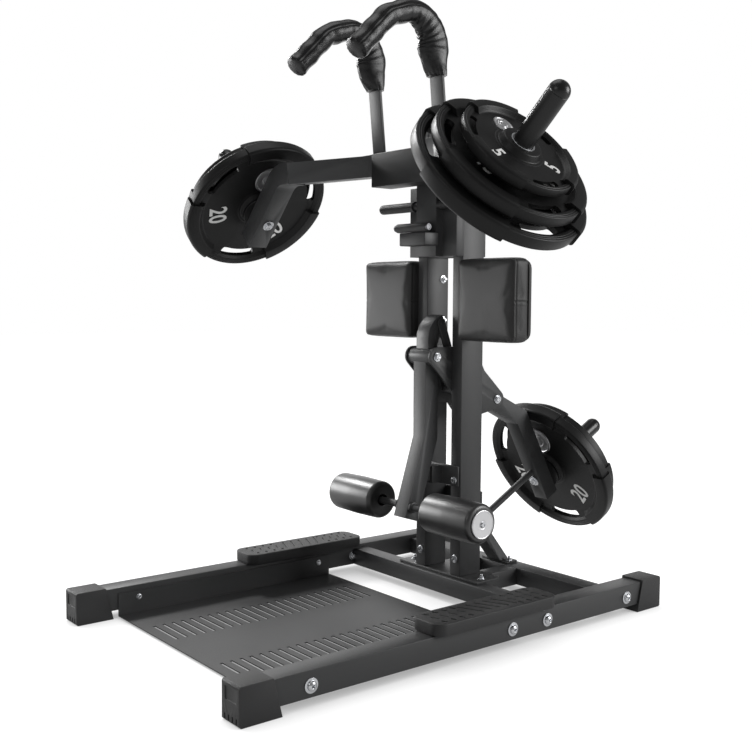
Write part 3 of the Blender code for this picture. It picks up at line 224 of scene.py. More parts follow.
def blended(tree, place, mask, first, second):
    """Two colours mixed by a mask. Each is three numbers or a node's output."""
    node = add(tree, "ShaderNodeMix", place, data_type="RGBA")
    tree.links.new(mask, node.inputs["Factor"])
    for key, colour in (("A", first), ("B", second)):
        if isinstance(colour, tuple):
            node.inputs[key].default_value = (*colour, 1.0)
        else:
            tree.links.new(colour, node.inputs[key])
    return node.outputs["Result"]


def effect_group(name, inputs, outputs):
    """A node group with its two ends. The ends are None where the group is already there."""
    group = bpy.data.node_groups.get(name)
    if group:
        return group, None, None
    group = bpy.data.node_groups.new(name, "ShaderNodeTree")
    for label, value in inputs.items():
        socket = group.interface.new_socket(name=label, in_out="INPUT", socket_type="NodeSocketFloat")
        socket.default_value = value
    for label in outputs:
        group.interface.new_socket(name=label, in_out="OUTPUT", socket_type="NodeSocketFloat")
    return group, add(group, "NodeGroupInput", (-1000, 0)), add(group, "NodeGroupOutput", (500, 0))


def grain_group():
    """Fine moulded or sprayed grain: a height, and a mask that varies slowly."""
    group, entry, leave = effect_group("surface_grain", {"Grain Size": 900.0, "Drift Size": 6.0},
                                       ("Height", "Drift"))
    if entry:
        fine = clouds(group, (-400, 150), entry.outputs["Grain Size"], 2.0, 0.55)
        slow = clouds(group, (-400, -150), entry.outputs["Drift Size"], 4.0)
        group.links.new(fine, leave.inputs["Height"])
        group.links.new(slow, leave.inputs["Drift"])
    return group


def wear_group():
    """Where edges rub: a thin broken line along rounded corners."""
    group, entry, leave = effect_group("edge_rub", {"Width": 0.002, "Amount": 0.5}, ("Mask",))
    if entry:
        shape = add(group, "ShaderNodeNewGeometry", (-1000, -250))
        rounded = add(group, "ShaderNodeBevel", (-800, 0), samples=4)
        facing = add(group, "ShaderNodeVectorMath", (-600, 0), operation="DOT_PRODUCT")
        group.links.new(entry.outputs["Width"], rounded.inputs["Radius"])
        group.links.new(rounded.outputs["Normal"], facing.inputs[0])
        group.links.new(shape.outputs["Normal"], facing.inputs[1])
        edge = stretched(group, (-400, 0), facing.outputs["Value"], (0.985, 0.90))
        patch = stretched(group, (-400, -300), clouds(group, (-600, -300), 60.0, 5.0), (0.45, 0.62))
        mask = product(group, (150, 0), product(group, (-100, 0), edge, patch), entry.outputs["Amount"])
        group.links.new(mask, leave.inputs["Mask"])
    return group


def dust_group():
    """A thin film of dust on what faces up."""
    group, entry, leave = effect_group("settled_dust", {"Amount": 0.2}, ("Mask",))
    if entry:
        shape = add(group, "ShaderNodeNewGeometry", (-800, 0))
        parts = add(group, "ShaderNodeSeparateXYZ", (-600, 0))
        group.links.new(shape.outputs["Normal"], parts.inputs["Vector"])
        up = stretched(group, (-400, 0), parts.outputs["Z"], (0.35, 0.95))
        thin = stretched(group, (-400, -300), clouds(group, (-600, -300), 14.0, 8.0, 0.65), (0.35, 0.75))
        mask = product(group, (150, 0), product(group, (-100, 0), up, thin), entry.outputs["Amount"])
        group.links.new(mask, leave.inputs["Mask"])
    return group


DRIFT_SIZE = 7.0
GLOSS_DRIFT = 0.07
RUB_WIDTH = 0.002
DUST_COLOUR = (0.32, 0.31, 0.29)


def surface(name, colour, roughness, metallic=0.0, grain=(900.0, 0.05), drift=0.12, wear=0.0, worn=0.2,
            dust=0.0, shine=0.5):
    """A finish with grain, slow drift of tone and gloss, rubbed edges and settled dust."""
    look = f"squat_{name}"
    found = bpy.data.materials.get(look)
    if found:
        return found
    made = bpy.data.materials.new(look)
    made.use_nodes = True
    tree = made.node_tree
    shader = tree.nodes["Principled BSDF"]
    shader.inputs["Metallic"].default_value = metallic
    shader.inputs["Specular IOR Level"].default_value = shine
    grain_size, grain_depth = grain
    texture = add(tree, "ShaderNodeGroup", (-900, -300),
                  {"Grain Size": grain_size, "Drift Size": DRIFT_SIZE}, node_tree=grain_group())
    dark = tuple(part * (1.0 - drift) for part in colour)
    light = tuple(min(1.0, part * (1.0 + drift)) for part in colour)
    tone = blended(tree, (-600, 200), texture.outputs["Drift"], dark, light)
    if wear:
        rubbed = add(tree, "ShaderNodeGroup", (-700, 500), {"Width": RUB_WIDTH, "Amount": wear},
                     node_tree=wear_group())
        tone = blended(tree, (-350, 300), rubbed.outputs["Mask"], tone, (worn, worn, worn))
    if dust:
        film = add(tree, "ShaderNodeGroup", (-500, 700), {"Amount": dust}, node_tree=dust_group())
        tone = blended(tree, (-150, 350), film.outputs["Mask"], tone, DUST_COLOUR)
    gloss = stretched(tree, (-600, -50), texture.outputs["Drift"],
                      end=(max(0.02, roughness - GLOSS_DRIFT), min(1.0, roughness + GLOSS_DRIFT)))
    bump = add(tree, "ShaderNodeBump", (-300, -350), {"Strength": grain_depth, "Distance": 0.001})
    tree.links.new(texture.outputs["Height"], bump.inputs["Height"])
    for output, key in ((tone, "Base Color"), (gloss, "Roughness"), (bump.outputs["Normal"], "Normal")):
        tree.links.new(output, shader.inputs[key])
    return made


# Each look: the slot it fills, a colour or the setting that holds it, the share of that colour, a roughness
# or a setting with what is added to it, and what else its surface takes
LOOKS = {
    "powder_coat": ("powder_coat", "frame_colour", 1.0, ("frame_roughness", 0.0),
                    dict(grain=(1400.0, 0.18), wear=0.25, worn=0.04, dust=0.02)),
    # A lighter copy of the frame paint, standing in for the light on the yoke arms and the curl lever:
    # painted light
    "arm_coat": ("powder_coat", "frame_colour", 1.5, ("frame_roughness", -0.04),
                 dict(grain=(1400.0, 0.18), wear=0.25, worn=0.06, dust=0.02)),
    # A darker copy of the frame paint, standing in for the shade on the yoke collar: painted shade
    "collar_coat": ("powder_coat", "frame_colour", 0.4, 0.55,
                    dict(grain=(1100.0, 0.25), wear=0.25, worn=0.04, dust=0.02, shine=0.30)),
    "horn_coat": ("powder_coat", "frame_colour", 0.18, 0.30,
                  dict(grain=(900.0, 0.02), wear=0.3, worn=0.03, shine=0.42)),
    "moulded_plastic": ("black_plastic", "plastic_colour", 1.0, 0.55,
                        dict(grain=(2200.0, 0.3), wear=0.2, worn=0.04, dust=0.04)),
    "grip_rubber": ("black_plastic", "plastic_colour", 1.0, 0.6,
                    dict(grain=(1800.0, 0.35), drift=0.15, dust=0.02)),
    "plate_rubber": ("plate_rubber", "plate_colour", 1.0, 0.41,
                     dict(grain=(700.0, 0.18), drift=0.18, wear=0.3, worn=0.03, dust=0.004, shine=0.24)),
    "number_paint": (None, "number_colour", 1.0, 0.5, dict(grain=(1200.0, 0.2), drift=0.08)),
    "bright_zinc": ("bright_zinc", (0.62, 0.63, 0.65), 1.0, 0.26,
                    dict(metallic=1.0, grain=(500.0, 0.05), drift=0.08)),
    "dull_steel": ("bright_zinc", (0.11, 0.11, 0.115), 1.0, 0.42,
                   dict(metallic=1.0, grain=(900.0, 0.10), drift=0.08)),
    "disc_metal": ("bright_zinc", (0.62, 0.62, 0.63), 1.0, 0.38,
                   dict(metallic=1.0, grain=(1600.0, 0.10), drift=0.06)),
    "pad_vinyl": ("pad_vinyl", "pad_colour", 1.0, 0.45, dict(grain=(1500.0, 0.30), drift=0.10, shine=0.30)),
    "sleeve_vinyl": ("pad_vinyl", "sleeve_colour", 1.0, 0.28,
                     dict(grain=(1300.0, 0.25), drift=0.12, shine=0.38)),
    "roller_foam": ("roller_foam", "roller_colour", 1.0, 0.37,
                    dict(grain=(900.0, 0.04), drift=0.10, shine=0.9)),
    "painted_board": ("plywood", (0.02, 0.0195, 0.019), 1.0, 0.6, dict(grain=(400.0, 0.4), drift=0.15)),
    "buffer_rubber": ("soft_rubber", (0.012, 0.012, 0.012), 1.0, 0.7, dict(grain=(900.0, 0.4))),
}


def dressed(look):
    """The slot and the material of a look."""
    slot, colour, share, roughness, more = LOOKS[look]
    own = bpy.context.scene.squat_finishes
    if isinstance(colour, str):
        colour = getattr(own, colour)
    if isinstance(roughness, tuple):
        setting, shift = roughness
        roughness = getattr(own, setting) + shift
    return slot, surface(look, tuple(part * share for part in colour), roughness, **more)


# Sizes and colours a user may change

def tint(name, description, *default):
    return bpy.props.FloatVectorProperty(name=name, description=description, subtype="COLOR", size=3, min=0,
                                         max=1, default=default)


def measure(name, description, low, high, default):
    return bpy.props.FloatProperty(name=name, description=description, unit="LENGTH", min=low, max=high,
                                   default=default)


def amount(name, description, high, default):
    return bpy.props.FloatProperty(name=name, description=description, min=0, max=high, default=default)


class SquatFinishes(bpy.types.PropertyGroup):
    frame_colour: tint("Frame", "Powder coat of the tubes", 0.028, 0.0285, 0.0292)
    frame_roughness: bpy.props.FloatProperty(name="Frame gloss", description="Roughness of the powder coat",
                                             subtype="FACTOR", min=0, max=1, default=0.48)
    plastic_colour: tint("Plastic", "Moulded caps and foot blocks", 0.012, 0.012, 0.0125)
    plate_colour: tint("Plates", "Rubber coat of the weight plates", 0.0060, 0.0060, 0.0061)
    number_colour: tint("Numbers", "Paint of the numbers on the plates", 0.75, 0.75, 0.74)
    pad_colour: tint("Pads", "Vinyl of the thigh pads", 0.024, 0.0239, 0.0238)
    sleeve_colour: tint("Sleeves", "Vinyl of the shoulder pads", 0.006, 0.006, 0.0063)
    roller_colour: tint("Rollers", "Foam of the rollers", 0.008, 0.008, 0.0081)


class SquatSizes(bpy.types.PropertyGroup):
    tube_corner: measure("Tube corner", "Rounding of the steel tubes", 0.0005, 0.006, 0.0032)
    sheet_corner: measure("Sheet corner", "Rounding of plates and brackets", 0.0002, 0.002, 0.0008)
    plastic_corner: measure("Plastic corner", "Rounding of the moulded pieces", 0.0005, 0.006, 0.0022)
    bolt_across: measure("Bolt head", "Width of a frame bolt's head across its corners", 0.008, 0.030, 0.020)
    pad_swell: measure("Pad swell", "How far the cover of a thigh pad may swell", 0.001, 0.012, 0.0032)
    fold_depth: measure("Sleeve folds", "Depth of the folds in the shoulder sleeves", 0.0, 0.004, 0.0016)


class SquatStage(bpy.types.PropertyGroup):
    floor_size: measure("Floor", "Length of the floor's side", 4, 100, 40.0)
    key_power: amount("Key light", "Power of the main soft light in watts", 5000, 120.0)
    sky: amount("Surroundings", "Brightness of the studio around the machine", 5, 0.24)
    floor_glow: amount("Floor glow", "Light the pale floor gives out itself", 2, 0.45)


def sizes():
    return bpy.context.scene.squat_sizes


# Shapes

def spot(x, y, z):
    """A place counted sideways from the middle, back from the front end, and up from the floor."""
    return Vector((x, CAD_BOX[0][1] + y, z))


def corners_of(node):
    """The two opposite corners of a solid's box."""
    low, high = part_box(node)
    return Vector(low), Vector(high)


def lying_round(node, side):
    """The inner end, the length and the radius of a round solid that lies along X."""
    low, high = corners_of(node)
    start = Vector((low.x if side > 0 else high.x, (low.y + high.y) / 2, (low.z + high.z) / 2))
    return start, high.x - low.x, (high.z - low.z) / 2


def bell(gap, width):
    """One at no gap, falling off smoothly on both sides."""
    return exp(-(gap / width) ** 2)


def clean(piece):
    edit(piece)
    bpy.ops.mesh.remove_doubles(threshold=ONE_PLACE / 10)
    bpy.ops.mesh.normals_make_consistent(inside=False)
    leave_edit()
    return piece


def axes_of(direction):
    """Turns an upright piece so that its Z runs along a direction and its X lies level."""
    along = Vector(direction).normalized()
    level = along.cross(Vector(UP))
    level = level.normalized() if level.length > 0.001 else Vector((1, 0, 0))
    return Matrix((level, along.cross(level), along)).transposed()


def stand(piece, place, direction, turn=0.0):
    upright = axes_of(direction).to_4x4() @ Matrix.Rotation(turn, 4, "Z")
    piece.matrix_world = Matrix.Translation(place) @ upright
    return settle(piece)


def outline_of(name, points, closed):
    """A string of edges in the plane of X and Z, drawn out corner by corner from one vertex."""
    deselect()
    bpy.ops.mesh.primitive_plane_add(size=0.01)
    piece = named(name)
    edit(piece)
    bpy.ops.mesh.merge(type="CENTER")
    x, z = points[0]
    bpy.ops.transform.translate(value=(x, 0, z))
    for next_x, next_z in points[1:]:
        bpy.ops.mesh.extrude_vertices_move(TRANSFORM_OT_translate={"value": (next_x - x, 0, next_z - z)})
        x, z = next_x, next_z
    if closed:
        bpy.ops.mesh.select_all(action="SELECT")
        bpy.ops.mesh.edge_face_add()
    leave_edit()
    return piece


def turned(name, profile, steps, place=(0, 0, 0), direction=UP, turn=0.0):
    """A body turned about its axis from (reach, radius) pairs. A ring's last pair repeats its first."""
    piece = outline_of(name, [(radius, reach) for reach, radius in profile], False)
    modified(piece, "SCREW", steps=steps, render_steps=steps, use_merge_vertices=True,
             merge_threshold=ONE_PLACE / 2)
    clean(piece)
    return stand(piece, Vector(place), direction, turn)


def sector(name, points, middle, span, steps):
    """A solid swept about Z over a span of angle round a middle one, from (radius, height) points."""
    piece = outline_of(name, points, True)
    edit(piece)
    bpy.ops.mesh.spin(steps=steps, angle=span, center=(0, 0, 0), axis=UP, dupli=False)
    leave_edit()
    clean(piece)
    centre = sum((vert.co for vert in piece.data.vertices), Vector()) / len(piece.data.vertices)
    return stand(piece, Vector(), UP, middle - atan2(centre.y, centre.x))


def rounded_points(corners, steps=4):
    """A closed outline whose corners, given as (a, b, radius), are rounded."""
    points = []
    count = len(corners)
    for i, (a, b, radius) in enumerate(corners):
        here = Vector((a, b))
        if radius <= 0:
            points.append((a, b))
            continue
        back = Vector(corners[i - 1][:2]) - here
        ahead = Vector(corners[(i + 1) % count][:2]) - here
        half = back.angle(ahead) / 2
        reach = min(radius / tan(half), back.length * 0.49, ahead.length * 0.49)
        radius = reach * tan(half)
        middle = here + (back.normalized() + ahead.normalized()).normalized() * radius / sin(half)
        first = here + back.normalized() * reach - middle
        last = here + ahead.normalized() * reach - middle
        for k in range(steps + 1):
            points.append(tuple(middle + first.lerp(last, k / steps).normalized() * radius))
    return points


def ring_of(corners, steps=4):
    """The profile of a ring to turn, from (radius, reach, rounding) corners."""
    ring = rounded_points(corners, steps)
    return [(reach, radius) for radius, reach in ring + ring[:1]]


def mirrored(points):
    """Corners given as (radius, reach, rounding), on the other side and in the other order."""
    return [(radius, -reach, rounding) for radius, reach, rounding in reversed(points)]


def take_away(piece, cutter):
    modified(piece, "BOOLEAN", operation="DIFFERENCE", solver="EXACT", object=cutter)
    bpy.data.objects.remove(cutter, do_unlink=True)


def united(pieces, name):
    """Several pieces made into one object."""
    choose(*pieces)
    bpy.ops.object.join()
    return named(name)


def copied(piece, name):
    choose(piece)
    bpy.ops.object.duplicate()
    return named(name)


def block(name, low, high, width, segments):
    """A cuboid between two corners with rounded edges."""
    low, high = Vector(low), Vector(high)
    deselect()
    bpy.ops.mesh.primitive_cube_add(size=1, location=(low + high) / 2)
    piece = named(name)
    piece.scale = high - low
    settle(piece)
    edit(piece)
    bpy.ops.mesh.bevel(offset=width, segments=segments, affect="EDGES")
    leave_edit()
    return clean(piece)


def wrapped(name, around, along, place_of):
    """A grid wound into a tube: place_of gives a place for a share of the way along and an angle around."""
    deselect()
    bpy.ops.mesh.primitive_grid_add(x_subdivisions=around, y_subdivisions=along, size=1)
    piece = named(name)
    for vert in piece.data.vertices:
        vert.co = place_of(min(max(vert.co.y + 0.5, 0.0), 1.0), 2 * pi * (vert.co.x + 0.5))
    edit(piece)
    bpy.ops.mesh.remove_doubles(threshold=ONE_PLACE)
    bpy.ops.mesh.select_all(action="DESELECT")
    bpy.ops.mesh.select_mode(type="EDGE")
    bpy.ops.mesh.select_non_manifold(extend=False)
    bpy.ops.mesh.fill_holes(sides=0)
    bpy.ops.mesh.select_all(action="SELECT")
    bpy.ops.mesh.normals_make_consistent(inside=False)
    leave_edit()
    return piece


# Operators

class PieceOperator:
    bl_options = {"REGISTER"}


SHEETS = ("column_base_plate", "left_pivot_plate", "right_pivot_plate", "stop_bracket", "left_pad_bracket",
          "right_pad_bracket")
BARS = ("left_hook_bar", "right_hook_bar", "link_bars")
BAR_CORNER = 0.0015
OWN_SHAPES = ("deck_plate", "left_horn", "right_horn", "rear_horn")
# The yoke arms and the curl lever take a lighter copy of the frame paint as painted light, the collar a
# darker copy as painted shade
LIT_AND_SHADED_COPIES = {"yoke_collar": "collar_coat", "left_yoke_arm": "arm_coat", "right_yoke_arm": "arm_coat",
               "curl_lever": "arm_coat"}


class SQUAT_OT_tubes(PieceOperator, bpy.types.Operator):
    """Rails, beams, uprights and every other welded piece, with rounded edges"""
    bl_idname = "squat.tubes"
    bl_label = "Tubes and brackets"

    def execute(self, context):
        own = sizes()
        for item in frame["record"]["subparts"]:
            node = item["node"]
            if item["material_slot"] != "powder_coat" or node in OWN_SHAPES:
                continue
            width = own.sheet_corner if node in SHEETS else own.tube_corner
            if node in BARS:
                width = BAR_CORNER
            carry(node, width, LIT_AND_SHADED_COPIES.get(node, "powder_coat"))
        deck = frame["nodes"]["deck_plate"]
        deck.data.materials.clear()
        deck.data.materials.append(dressed("powder_coat")[1])
        return {"FINISHED"}


class SQUAT_OT_tube_plugs(PieceOperator, bpy.types.Operator):
    """Moulded plugs that close the tops of the uprights"""
    bl_idname = "squat.tube_plugs"
    bl_label = "Tube plugs"

    def execute(self, context):
        clear, inside, above = 0.0004, 0.012, 0.0035
        for word in SIDES:
            low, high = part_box(f"{word}_upright")
            plug = block(f"{word}_upright_plug", (low[0] + clear, low[1] + clear, high[2] - inside),
                         (high[0] - clear, high[1] - clear, high[2] + above), 0.003, 3)
            finish(plug, "floor_frame", "moulded_plastic")
        return {"FINISHED"}


PLAN_CORNER = 0.030
TREAD_COUNT = 13
MIDDLE_TREADS = range(4, 9)
END_MARGIN = 0.035
SIDE_MARGIN = 0.020
TREAD_DEPTH = 0.0020
TREAD_SLANT = 24


class SQUAT_OT_mouldings(PieceOperator, bpy.types.Operator):
    """Foot caps, ridged foot blocks and the rubber rest of the curl lever"""
    bl_idname = "squat.mouldings"
    bl_label = "Caps and foot blocks"

    def execute(self, context):
        own = sizes()
        for word in SIDES:
            for end in ("front", "rear"):
                carry(f"{word}_{end}_cap", own.plastic_corner, "moulded_plastic", 3)
            self.foot_block(f"{word}_foot_block", own.plastic_corner)
        carry("stop_bumper", 0.003, "buffer_rubber", 3)
        return {"FINISHED"}

    def foot_block(self, node, width):
        """A rounded block with short treads along its two sides and long slanted ones across its middle."""
        low, high = corners_of(node)
        plan = rounded_points([(low.x, low.y, PLAN_CORNER), (high.x, low.y, PLAN_CORNER),
                               (high.x, high.y, PLAN_CORNER), (low.x, high.y, PLAN_CORNER)], 8)
        piece = outline_of(f"{node}_body", plan, True)
        piece.matrix_world = Matrix.Translation((0, 0, low.z)) @ Matrix.Rotation(-pi / 2, 4, "X")
        settle(piece)
        edit(piece)
        bpy.ops.mesh.extrude_region_move(TRANSFORM_OT_translate={"value": (0, 0, high.z - low.z)})
        leave_edit()
        clean(piece)
        soften(piece, width, 3, 50)
        treads = []
        pitch = (high.y - low.y - 2 * END_MARGIN) / (TREAD_COUNT - 1)
        slant = radians(TREAD_SLANT if low.x > 0 else -TREAD_SLANT)
        middle = (low.x + high.x) / 2
        broad = [(middle, 0.072, 0.0070)]
        short = [(low.x + SIDE_MARGIN, 0.017, 0.0085), (high.x - SIDE_MARGIN, 0.017, 0.0085),
                 (middle, 0.026, 0.0055)]
        for k in range(TREAD_COUNT):
            y = low.y + END_MARGIN + pitch * k
            for x, long, wide in broad if k in MIDDLE_TREADS else short:
                treads.append(self.tread(Vector((x, y, high.z)), long, wide, slant))
        take_away(piece, united(treads, "treads"))
        finish(piece, "floor_frame", "moulded_plastic", 40)
        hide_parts(node)

    def tread(self, place, long, wide, turn):
        """A cutter for one groove, with sloping sides. Half of it stands above the block."""
        deselect()
        bpy.ops.mesh.primitive_cube_add(size=1)
        cutter = named("tread")
        cutter.scale = (long, wide, 2 * TREAD_DEPTH)
        settle(cutter)
        edit(cutter, "DESELECT")
        leave_edit()
        for face in cutter.data.polygons:
            face.select = face.normal.z < -0.9
        choose(cutter)
        bpy.ops.object.mode_set(mode="EDIT")
        bpy.ops.mesh.select_mode(type="FACE")
        bpy.ops.transform.resize(value=(1 - 0.0018 / long, 1 - 0.0030 / wide, 1))
        leave_edit()
        cutter.matrix_world = Matrix.Translation(place) @ Matrix.Rotation(turn, 4, "Z")
        return settle(cutter)


# Radius, rim, hub and web of a plate, then how far out its number and its disc stand and how big they are
PLATE_SIZES = {"20": (0.225, 0.042, 0.044, 0.012), "15": (0.198, 0.038, 0.040, 0.010),
               "5": (0.150, 0.032, 0.038, 0.006)}
NUMBER_PLACES = {"20": (0.128, 0.047), "15": (0.098, 0.038), "5": (0.088, 0.034)}
DISC_PLACES = {"20": (0.100, 0.045), "15": (0.092, 0.038), "5": (0.074, 0.026)}
NUMBER_SHIFT = radians(12)
NUMBER_THICKNESS = 0.00025
GRIP_TURNS = (90, 210, 330)
GRIP_SPAN, WINDOW_SPAN = radians(60), radians(36)
BUSH_RADIUS, HUB_RADIUS = 0.0258, 0.0300
DISC_STEPS = ((0.0, 0.0020, 0), (0.30, 0.0020, 0.0004), (0.33, 0.0010, 0.0002), (0.40, 0.0010, 0.0002),
              (0.43, 0.0018, 0.0002), (0.50, 0.0018, 0.0002), (0.53, 0.0010, 0.0002), (0.84, 0.0010, 0.0003),
              (0.87, 0.0026, 0.0004), (0.98, 0.0026, 0.0006), (1.0, -0.0005, 0.0002), (0.0, -0.0005, 0))


def plate_axis(name):
    """The way a plate's horn points, from the slide that carries the plate."""
    return next(Vector(joint["axis"]) for joint in BEHAVIOUR["joints"] if joint["child"] == BODY_OF[name])


class SQUAT_OT_plates(PieceOperator, bpy.types.Operator):
    """Rubber coated three-grip weight plates with steel bushes, discs and plain numbers"""
    bl_idname = "squat.plates"
    bl_label = "Weight plates"

    def master(self, label):
        """A plate that lies flat about the origin, with a raised rim, three grips and three windows."""
        radius, rim, hub, web = PLATE_SIZES[label]
        front = [(0.0290, hub / 2, 0.002), (0.0470, hub / 2, 0.004), (0.0540, web / 2 + 0.001, 0.004),
                 (0.0600, web / 2 + 0.001, 0.001), (0.0625, web / 2, 0.001),
                 (0.775 * radius, web / 2, 0.010), (0.835 * radius, rim / 2, 0.006),
                 (radius, rim / 2, 0.0085)]
        plate = turned(f"plate_{label}", ring_of(front + mirrored(front)), 120)
        low, edge = rim / 2 - 0.006, radius - 0.006
        grip = [(0.76 * radius, web / 2 + 0.0004, 0), (0.85 * radius, web / 2 + 0.0004, 0.004),
                (0.885 * radius, low, 0.003)]
        for share in (0.915, 0.940, 0.965):
            middle = share * radius
            grip += [(middle - 0.0016, low, 0), (middle - 0.0006, low + 0.0009, 0),
                     (middle + 0.0006, low + 0.0009, 0), (middle + 0.0016, low, 0)]
        grip = [point for point in grip if point[0] < edge - 0.004]
        grip.append((edge, low, 0.006))
        around = [(0.76 * radius, -0.05, 0), (1.1 * radius, -0.05, 0), (1.1 * radius, 0.05, 0),
                  (0.76 * radius, 0.05, 0)]
        outside = rounded_points(grip + mirrored(grip) + around, 3)
        grips = [sector(f"grip_{turn}", outside, radians(turn), GRIP_SPAN, 20) for turn in GRIP_TURNS]
        take_away(plate, united(grips, "grips"))
        slot = [(0.735 * radius, -0.04), (0.735 * radius, 0.04), (0.85 * radius, 0.04),
                (0.85 * radius, -0.04)]
        windows = []
        for turn in GRIP_TURNS:
            window = sector(f"window_{turn}", slot, radians(turn), WINDOW_SPAN, 14)
            self.round_ends(window, radians(turn), radius)
            windows.append(window)
        take_away(plate, united(windows, "windows"))
        edit(plate)
        bpy.ops.mesh.remove_doubles(threshold=ONE_PLACE)
        bpy.ops.mesh.dissolve_degenerate(threshold=ONE_PLACE)
        leave_edit()
        return plate

    def round_ends(self, window, middle, radius):
        """Rounds the four upright edges at a window's two ends."""
        edit(window, "DESELECT")
        bpy.ops.mesh.select_mode(type="EDGE")
        leave_edit()
        verts = window.data.vertices
        near_end = WINDOW_SPAN / 2 - radians(0.5)
        for line in window.data.edges:
            one, two = (verts[k].co for k in line.vertices)
            angle = abs((atan2(one.y, one.x) - middle + pi) % (2 * pi) - pi)
            line.select = abs(one.z - two.z) > 0.01 and angle > near_end
        choose(window)
        bpy.ops.object.mode_set(mode="EDIT")
        bpy.ops.mesh.bevel(offset=0.045 * radius, segments=5, affect="EDGES")
        leave_edit()

    def number(self, label, place, right, up, height):
        """A plain painted number, as a thin solid lying on the plate."""
        deselect()
        bpy.ops.object.text_add()
        text = named("number")
        set_all(text.data, body=label, size=height * 1.62, align_x="CENTER", align_y="CENTER",
                extrude=NUMBER_THICKNESS, offset=0.0013)
        choose(text)
        bpy.ops.object.convert(target="MESH")
        mark = named("number")
        face = Matrix((right * 0.80, up, right.cross(up))).transposed().to_4x4()
        mark.matrix_world = Matrix.Translation(place) @ face
        return settle(mark)

    def place(self, plates, name, label):
        """Sets a copy of a plate on its horn, with its bush, two numbers and a disc on either face."""
        hub, web = PLATE_SIZES[label][2:]
        low, high = corners_of(name)
        middle, direction, body = (low + high) / 2, plate_axis(name), BODY_OF[name]
        axes = axes_of(direction)
        along = axes @ Vector(UP)
        piece = copied(plates[label], f"{name}_rubber")
        stand(piece, middle, direction)
        finish(piece, body, "plate_rubber", 32)
        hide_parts(name)
        half = hub / 2 + 0.0006
        bush = ring_of([(BUSH_RADIUS, half, 0.0006), (HUB_RADIUS, half, 0.0008),
                        (HUB_RADIUS, -half, 0.0008), (BUSH_RADIUS, -half, 0.0006)], 2)
        finish(turned(f"{name}_bush", bush, 48, middle, direction), body, "bright_zinc")
        marks, discs = [], []
        reach, height = NUMBER_PLACES[label]
        disc_reach, disc_radius = DISC_PLACES[label]
        disc = rounded_points([(disc_radius * share, lift, edge) for share, lift, edge in DISC_STEPS], 2)
        disc = [(lift, radius) for radius, lift in disc]
        below = axes @ Vector(FRONT)
        for face in (1, -1):
            lift = along * face * (web / 2 + 0.0003)
            for turn in (30, 150):
                outward = axes @ Vector((cos(radians(turn)), sin(radians(turn)), 0))
                reading = (-outward).cross(along * face)
                outward = outward * cos(NUMBER_SHIFT) - reading * sin(NUMBER_SHIFT)
                up = -outward
                marks.append(self.number(label, middle + outward * reach + lift, up.cross(along * face), up,
                                         height))
            discs.append(turned(f"{name}_disc", disc, 56, middle + below * disc_reach + lift, along * face))
        finish(united(marks, f"{name}_numbers"), body, "number_paint")
        finish(united(discs, f"{name}_discs"), body, "disc_metal")

    def execute(self, context):
        plates = {label: self.master(label) for label in PLATE_SIZES}
        for word in SIDES:
            for label in PLATE_SIZES:
                self.place(plates, f"{word}_plate_{label}", label)
        self.place(plates, "rear_plate_inner", "20")
        self.place(plates, "rear_plate_outer", "15")
        for plate in plates.values():
            bpy.data.objects.remove(plate, do_unlink=True)
        return {"FINISHED"}


HORN_RADIUS = 0.0250
BOLT_AND_WASHER = 0.010


class SQUAT_OT_horns(PieceOperator, bpy.types.Operator):
    """The three bars that hold the plates, each with its flange, weld and domed end"""
    bl_idname = "squat.horns"
    bl_label = "Plate horns"

    def horn(self, node, inner_plate):
        axis = plate_axis(inner_plate)
        low, high = corners_of(inner_plate)
        middle = (low + high) / 2
        reaches = [(vert.co - middle).dot(axis) for vert in frame["nodes"][node].data.vertices]
        tip, root = max(reaches), min(reaches) + BOLT_AND_WASHER
        face = -PLATE_SIZES["20"][2] / 2 - 0.0003
        profile = [(face - 0.0080, 0.0), (face - 0.0080, 0.0505), (face - 0.0070, 0.0522),
                   (face - 0.0012, 0.0522), (face - 0.0002, 0.0512), (face - 0.0002, 0.0285),
                   (face + 0.0012, 0.0268), (face + 0.0030, 0.0256), (face + 0.0042, HORN_RADIUS),
                   (tip - 0.0265, HORN_RADIUS), (tip - 0.0262, 0.0246), (tip - 0.0256, 0.0246),
                   (tip - 0.0250, HORN_RADIUS)]
        profile += [(tip - 0.0250 + HORN_RADIUS * sin(k * pi / 20), HORN_RADIUS * cos(k * pi / 20))
                    for k in range(1, 10)]
        profile.append((tip, 0.0))
        bar = turned(f"{node}_bar", profile, 64, middle, axis)
        finish(bar, BODY_OF[node], "horn_coat", 50)
        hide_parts(node)
        self.root_bolt(node, middle + axis * root, -axis)

    def root_bolt(self, node, seat, direction):
        """The broad washer and hexagon bolt that pull a horn against what carries it."""
        ring = [(0.0, 0.0), (0.0, 0.0162), (0.0005, 0.0168), (0.0024, 0.0168), (0.0030, 0.0160),
                (0.0030, 0.0)]
        head = [(0.0028, 0.0), (0.0028, 0.0110), (0.0086, 0.0110), (0.0100, 0.0098), (0.0100, 0.0070),
                (0.0086, 0.0060), (0.0086, 0.0)]
        parts = [turned("washer", ring, 48, seat, direction),
                 turned("head", head, 6, seat, direction, radians(20))]
        finish(united(parts, f"{node}_root_bolt"), BODY_OF[node], "bright_zinc", 32)

    def execute(self, context):
        for word in SIDES:
            self.horn(f"{word}_horn", f"{word}_plate_20")
        self.horn("rear_horn", "rear_plate_inner")
        return {"FINISHED"}


PAD_INSET = 0.004
COVER_FRAMES = 20
SEAM_DEPTH, STITCH_RISE = 0.0016, 0.0007


